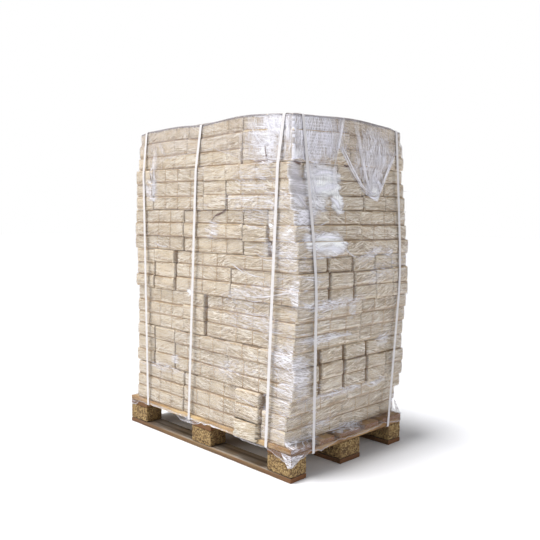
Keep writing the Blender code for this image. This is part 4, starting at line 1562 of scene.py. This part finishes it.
# By side, each with its half width, its strength, and then its path as pairs of place and height.
# A negative strength paints the crease dark, as a fold's shadow.
CREASES = (
    ("right", (
        (0.034, 0.75, -0.25, 1.235, -0.18, 1.245, -0.09, 1.262),
        (0.02, 0.95, -0.24, 1.3, -0.17, 1.318, -0.1, 1.312),
        (0.026, 0.85, -0.15, 1.205, -0.1, 1.185, -0.085, 1.15),
        (0.02, 0.55, -0.27, 1.34, -0.265, 1.25, -0.25, 1.16),
        (0.022, 0.45, -0.38, 1.24, -0.33, 1.19, -0.29, 1.15),
        (0.013, 0.95, -0.26, 1.035, -0.2, 1.038, -0.1, 1.03),
        (0.03, 0.55, -0.27, 0.985, -0.18, 0.99, -0.09, 0.97),
        (0.016, 0.6, -0.35, 1.015, -0.31, 1.03, -0.28, 1.02),
        (0.006, 0.55, -0.41, 0.79, -0.3, 0.735, -0.15, 0.748, 0, 0.755),
        (0.005, 0.5, -0.36, 0.735, -0.25, 0.74, -0.12, 0.715),
        (0.006, 0.5, -0.4, 0.88, -0.3, 0.868, -0.23, 0.865),
        (0.007, 0.55, -0.37, 0.6, -0.2, 0.595, -0.03, 0.592, 0.05, 0.58),
        (0.006, 0.8, -0.25, 1.33, -0.19, 1.315, -0.14, 1.318),
        (0.003, 0.6, -0.2, 1.3, -0.12, 1.295, -0.03, 1.285),
        (0.01, 0.6, -0.27, 1.36, -0.25, 1.26, -0.21, 1.205),
        (0.008, 0.6, -0.29, 1.31, -0.27, 1.25, -0.28, 1.17),
        (0.006, 0.4, 0.05, 0.935, 0.1, 0.955, 0.16, 0.985),
        (0.005, 0.35, 0.02, 0.89, 0.12, 0.935, 0.2, 0.975),
        (0.006, 0.5, -0.1, 1.02, -0.08, 0.975, -0.02, 0.945, 0.04, 0.94),
        (0.006, 0.45, 0.1, 0.36, 0.14, 0.325, 0.19, 0.312, 0.24, 0.325, 0.27, 0.345),
        (0.006, 0.5, -0.22, 0.335, -0.1, 0.33, 0, 0.335),
        (0.005, 0.5, -0.27, 0.205, -0.2, 0.195, -0.12, 0.215, -0.05, 0.222),
        (0.005, 0.9, -0.4, 0.165, -0.36, 0.15, -0.33, 0.16, -0.35, 0.172),
        (0.008, 0.6, -0.15, 0.158, -0.05, 0.152, 0.03, 0.16),
    )),
    ("front", (
        (0.007, 0.6, 0.2, 0.905, 0.24, 0.89, 0.28, 0.868),
        (0.005, 0.5, 0.25, 0.905, 0.29, 0.875, 0.33, 0.862, 0.42, 0.858),
        (0.004, 0.6, 0.1, 1.2, 0.22, 1.2, 0.36, 1.205, 0.46, 1.2),
        (0.005, 0.6, 0.25, 1.26, 0.36, 1.255, 0.45, 1.258),
        (0.004, 0.5, 0.22, 1.238, 0.34, 1.243, 0.45, 1.236),
        (0.006, 0.7, 0.26, 1.49, 0.34, 1.475, 0.41, 1.48),
        (0.005, 0.6, 0.28, 1.44, 0.36, 1.425, 0.42, 1.43),
        (0.005, 0.6, 0.4, 1.375, 0.46, 1.36, 0.52, 1.365),
        (0.006, 0.6, 0.3, 0.765, 0.42, 0.775, 0.54, 0.8, 0.61, 0.81),
        (0.005, 0.6, 0.45, 0.975, 0.52, 0.97, 0.6, 0.975),
        (0.006, 0.6, 0.44, 0.535, 0.52, 0.53, 0.58, 0.54),
        (0.006, 0.6, 0.44, 0.4, 0.5, 0.385, 0.57, 0.39),
        (0.005, 0.5, 0.46, 0.34, 0.51, 0.325, 0.56, 0.33),
        (0.003, 0.45, 0.2, 0.7, 0.26, 0.71, 0.34, 0.69, 0.42, 0.7),
        (0.006, 0.35, -0.57, 0.335, -0.48, 0.33, -0.4, 0.338, -0.3, 0.33),
        (0.008, 0.4, -0.4, 0.98, -0.35, 0.965, -0.28, 0.965),
        (0.006, 0.5, 0.04, 1.1, 0.07, 1.08, 0.1, 1.085),
        (0.011, -1, 0.08, 1.121, 0.12, 1.131, 0.17, 1.152),
        (0.005, -0.9, 0.055, 1.096, 0.07, 1.115, 0.098, 1.128),
        (0.004, -0.9, 0.315, 1.352, 0.35, 1.362, 0.395, 1.357, 0.435, 1.362),
        (0.006, -1, 0.398, 1.425, 0.405, 1.4, 0.41, 1.372),
        (0.003, -0.7, 0.43, 1.33, 0.47, 1.322, 0.52, 1.332),
        (0.003, -0.6, 0.34, 1.29, 0.4, 1.283, 0.47, 1.29),
        (0.005, -0.8, -0.428, 1.355, -0.42, 1.32, -0.408, 1.285),
        (0.004, -0.6, -0.418, 1.275, -0.41, 1.24, -0.412, 1.21),
    )),
    ("right", (
        (0.01, -0.8, -0.372, 1.35, -0.35, 1.345, -0.318, 1.34),
        (0.008, -0.8, -0.05, 1.35, -0.03, 1.344, 0, 1.348),
    )),
)
# Bands that gathered beside the near corner and on the far sides: side, first and last place of
# their start, lowest and highest, longest step, and number.
GATHERED = (
    ("front", 0.26, 0.44, 0.22, 1.5, 0.045, 44), ("right", -0.38, -0.22, 0.22, 1.1, 0.045, 26),
    ("back", -0.56, 0.36, 0.2, 1.48, 0.1, 26), ("left", -0.36, 0.16, 0.2, 1.48, 0.1, 18),
)
# The most that such a band rises in a step, and the ends of its half width and strength.
BAND_RISE = 0.015
BAND_HALVES = (0.0015, 0.0050)
BAND_STRENGTHS = (0.30, 0.70)
creases = [(side, *crease) for side, rows in CREASES for crease in rows]
for side, first, last, low, high, step, number in GATHERED:
    for _ in range(number):
        along, level = far_rng.uniform(first, last), far_rng.uniform(low, high)
        steps = far_rng.uniform((0.4 * step, -BAND_RISE), (step, BAND_RISE), (3, 2))
        path = np.vstack([(0.0, 0.0), np.cumsum(steps, axis=0)]) + (along, level)
        wide, strength = far_rng.uniform(*BAND_HALVES), far_rng.uniform(*BAND_STRENGTHS)
        creases.append((side, wide, strength, *path.ravel()))
crease_shape = Shape()
for number, (side, width, strength, *path) in enumerate(creases):
    path = np.reshape(path, (-1, 2))
    add_ribbon(crease_shape, side, path, width, strength, CREASE_LIFT, seed=50 + number * 2.3)
wrapped_piece(crease_shape, "wound_film_creases", stretch_film.material)

# Loose film at the foot: a web from the lowest packs to the back right corner of the deck, and
# tails that curl off the lower edge.
TAIL_ROWS = 13
TAIL_COLUMNS = 19
TAIL_OUT = 0.0008
TAIL_RIPPLE = 0.0025
TAIL_SWAY = 0.006
# The four corners of each: the two of its upper edge, then the two of its lower edge.
LOOSE = (
    (0.562, 0.398, 0.205, 0.594, 0.399, 0.147, 0.555, 0.402, 0.2, 0.565, 0.403, 0.147),
    (0.545, -0.4045, 0.124, 0.6035, -0.4045, 0.122, 0.585, -0.405, 0.066, 0.605, -0.404, 0.07),
    (0.604, -0.403, 0.12, 0.6045, -0.32, 0.112, 0.605, -0.402, 0.068, 0.605, -0.375, 0.086),
    (-0.603, -0.404, 0.122, -0.55, -0.4045, 0.122, -0.603, -0.4045, 0.11, -0.56, -0.405, 0.112),
    (-0.13, -0.404, 0.12, -0.05, -0.404, 0.12, -0.12, -0.406, 0.106, -0.07, -0.406, 0.108),
)
tails = Shape()
for number, corners in enumerate(LOOSE):
    corners = [Vector(corner) for corner in np.reshape(corners, (4, 3))]
    points, haze = [], []
    for v in np.linspace(0, 1, TAIL_ROWS):
        for u in np.linspace(0, 1, TAIL_COLUMNS):
            point = corners[0].lerp(corners[1], u).lerp(corners[2].lerp(corners[3], u), v)
            ripple = cloud(u * 5 + number * 7, v * 3, 0.0)
            out = Vector((point.x, point.y, 0.0)).normalized()
            point += out * (TAIL_RIPPLE * v * ripple + TAIL_OUT)
            point.z += TAIL_SWAY * v * cloud(u * 7, number * 3.0, 5.0)
            points.append(point)
            haze.append((0.75 if number in (1, 2) else 0.25) + 0.4 * ripple)
    starts = range(0, TAIL_ROWS * TAIL_COLUMNS, TAIL_COLUMNS)
    faces = band_faces(starts, TAIL_COLUMNS, closed=False)
    if corners[0].x < 0.6 or number == 1:
        faces = [face[::-1] for face in faces]
    tails.add(
        points, faces, fold=0.05 if number else 0.25, shade=0.0 if number else 0.2, haze=haze,
        around=[0.4 * number + p.x + p.y for p in points], level=[p.z for p in points],
    )
wrapped_piece(tails, "loose_film", stretch_film.material)

# Straps: flat white polyester bands with fine ribs, drawn tight round the load and under the deck,
# each joined by a friction weld on the far side. The two along the load cross over the other three.
STRAP_WIDTH = 0.016
STRAP_THICK = 0.0008
STRAP_LIFT = 0.0042
STRAP_STEP = 0.02
EDGE_ROUND = 0.008
DECK_EDGE = 0.0035
# On top a strap along the load lies higher than one across it, and bends over each that it crosses.
STRAP_TOP = {0: 0.0022, 1: 0.0012}
CROSSING = (-0.012, 0.012)
TOP_SHY = 0.08
RIM_DROP = 0.01
# The heights that a weld lies between, and how far out from the middle it is at least.
WELD = (0.84, 0.92)
WELD_FROM = 0.3
WELD_SPREAD = 0.0006
WELD_THICK = 2.1 * STRAP_THICK
# For each strap: the axis that it runs along, and its place across at the top and at the bottom.
STRAPS = {
    "strap_across_left": (1, -0.484, -0.436), "strap_across_middle": (1, -0.044, -0.090),
    "strap_across_right": (1, 0.509, 0.452), "strap_along_front": (0, -0.311, -0.262),
    "strap_along_back": (0, 0.358, 0.286),
}

strap_finish = Finish("white_strap")
strap_place = strap_finish.place()
rib_values = {"Vector": strap_place, "Scale": 180.0, "Distortion": 0.0}
ribs = strap_finish.node(
    "TexWave", "Fac", rib_values, wave_type="BANDS", bands_direction="DIAGONAL"
)
grime = strap_finish.clouds(strap_place, 40.0, 3.0).between(0.5, 0.8) * 0.6
strap_colour = strap_finish.blend(grime, (0.65, 0.63, 0.64), (0.54, 0.52, 0.52))
strap_finish.set(Base_Color=strap_colour, Roughness=0.5)
strap_finish.relief(ribs, 0.0004, 0.6)


def tight_outline(points):
    """The tight closed outline round points in a plane, anticlockwise."""
    points = sorted({(round(float(a), 6), round(float(b), 6)) for a, b in points})
    found = []
    for sweep in (points, points[::-1]):
        half = []
        for point in sweep:
            while len(half) > 1:
                (ax, ay), (bx, by) = half[-2:]
                if (bx - ax) * (point[1] - ay) - (by - ay) * (point[0] - ax) > 1e-9:
                    break
                half.pop()
            half.append(point)
        found += half[:-1]
    return np.array(found)


def strap_stations(node, axis, at_top, at_bottom):
    """Even stations round a strap, each its run and height, outward normal and place across."""
    low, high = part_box(node)
    sides = ("front", "back") if axis == 1 else ("left", "right")
    top = top_high.z + SHEET_TOP + STRAP_TOP[axis]

    def across_at(level):
        return at_bottom + (at_top - at_bottom) * (level - low.z) / (high.z - low.z)

    around_load = []
    for side, sign in zip(sides, (-1, 1)):
        reach = reach_at(side, across_at(row_heights), row_heights) + STRAP_LIFT
        around_load += zip(sign * reach, row_heights)
        reach = float(reach_at(side, at_top, top - RIM_DROP)) + STRAP_LIFT
        for angle in np.linspace(0, QUARTER, 5):
            run = reach - EDGE_ROUND * (1 - math.cos(angle))
            around_load.append((sign * run, top - EDGE_ROUND * (1 - math.sin(angle))))
    half = DECK_HALF[axis] - TOP_SHY
    around_load += [(run, top) for run in np.linspace(-half, half, 23)]
    if axis == 0:
        crossed = [place for way, place, _ in STRAPS.values() if way == 1]
        around_load += [(place + by, top + STRAP_THICK) for place in crossed for by in CROSSING]
    settled = settle([
        (across_at(z), run, z) if axis == 1 else (run, across_at(z), z) for run, z in around_load
    ])
    edge = DECK_HALF[axis] + DECK_EDGE
    bottom = [(sign * edge, low.z + STRAP_THICK) for sign in (-1, 1)]
    path = tight_outline([*settled[:, (axis, 2)], *bottom])
    runs = []
    for first, last in zip(path, np.roll(path, -1, axis=0)):
        pieces = max(1, round(float(np.hypot(*(last - first))) / STRAP_STEP))
        runs += [first + (last - first) * part / pieces for part in range(pieces)]
    runs = np.array(runs)
    return list(zip(runs, outward(runs), across_at(runs[:, 1])))


def add_band(shape, axis, stations, width, inner, outer, closed):
    """A flat band of rings along stations, between two distances out from them."""
    points = []
    for run, normal, middle in stations:
        for side, out in ((-1, inner), (1, inner), (1, outer), (-1, outer)):
            place = middle + side * width / 2
            along, level = run + normal * out
            points.append((place, along, level) if axis == 1 else (along, place, level))
    faces = ring_faces(len(stations), 4)
    if closed:
        faces = faces[:-2] + band_faces((4 * (len(stations) - 1), 0), 4)
    shape.add(points, faces)


for node, (axis, at_top, at_bottom) in STRAPS.items():
    stations = strap_stations(node, axis, at_top, at_bottom)
    strap = Shape()
    add_band(strap, axis, stations, STRAP_WIDTH, 0.0, STRAP_THICK, True)
    far_side = 1 if axis == 1 else -1
    weld = [s for s in stations if WELD[0] < s[0][1] < WELD[1] and s[0][0] * far_side > WELD_FROM]
    add_band(strap, axis, weld, STRAP_WIDTH + WELD_SPREAD, STRAP_THICK, WELD_THICK, False)
    band = strap.piece(node + "_band", strap_finish.material, "white_strap", 30, turn_out=True)
    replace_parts(band, node)
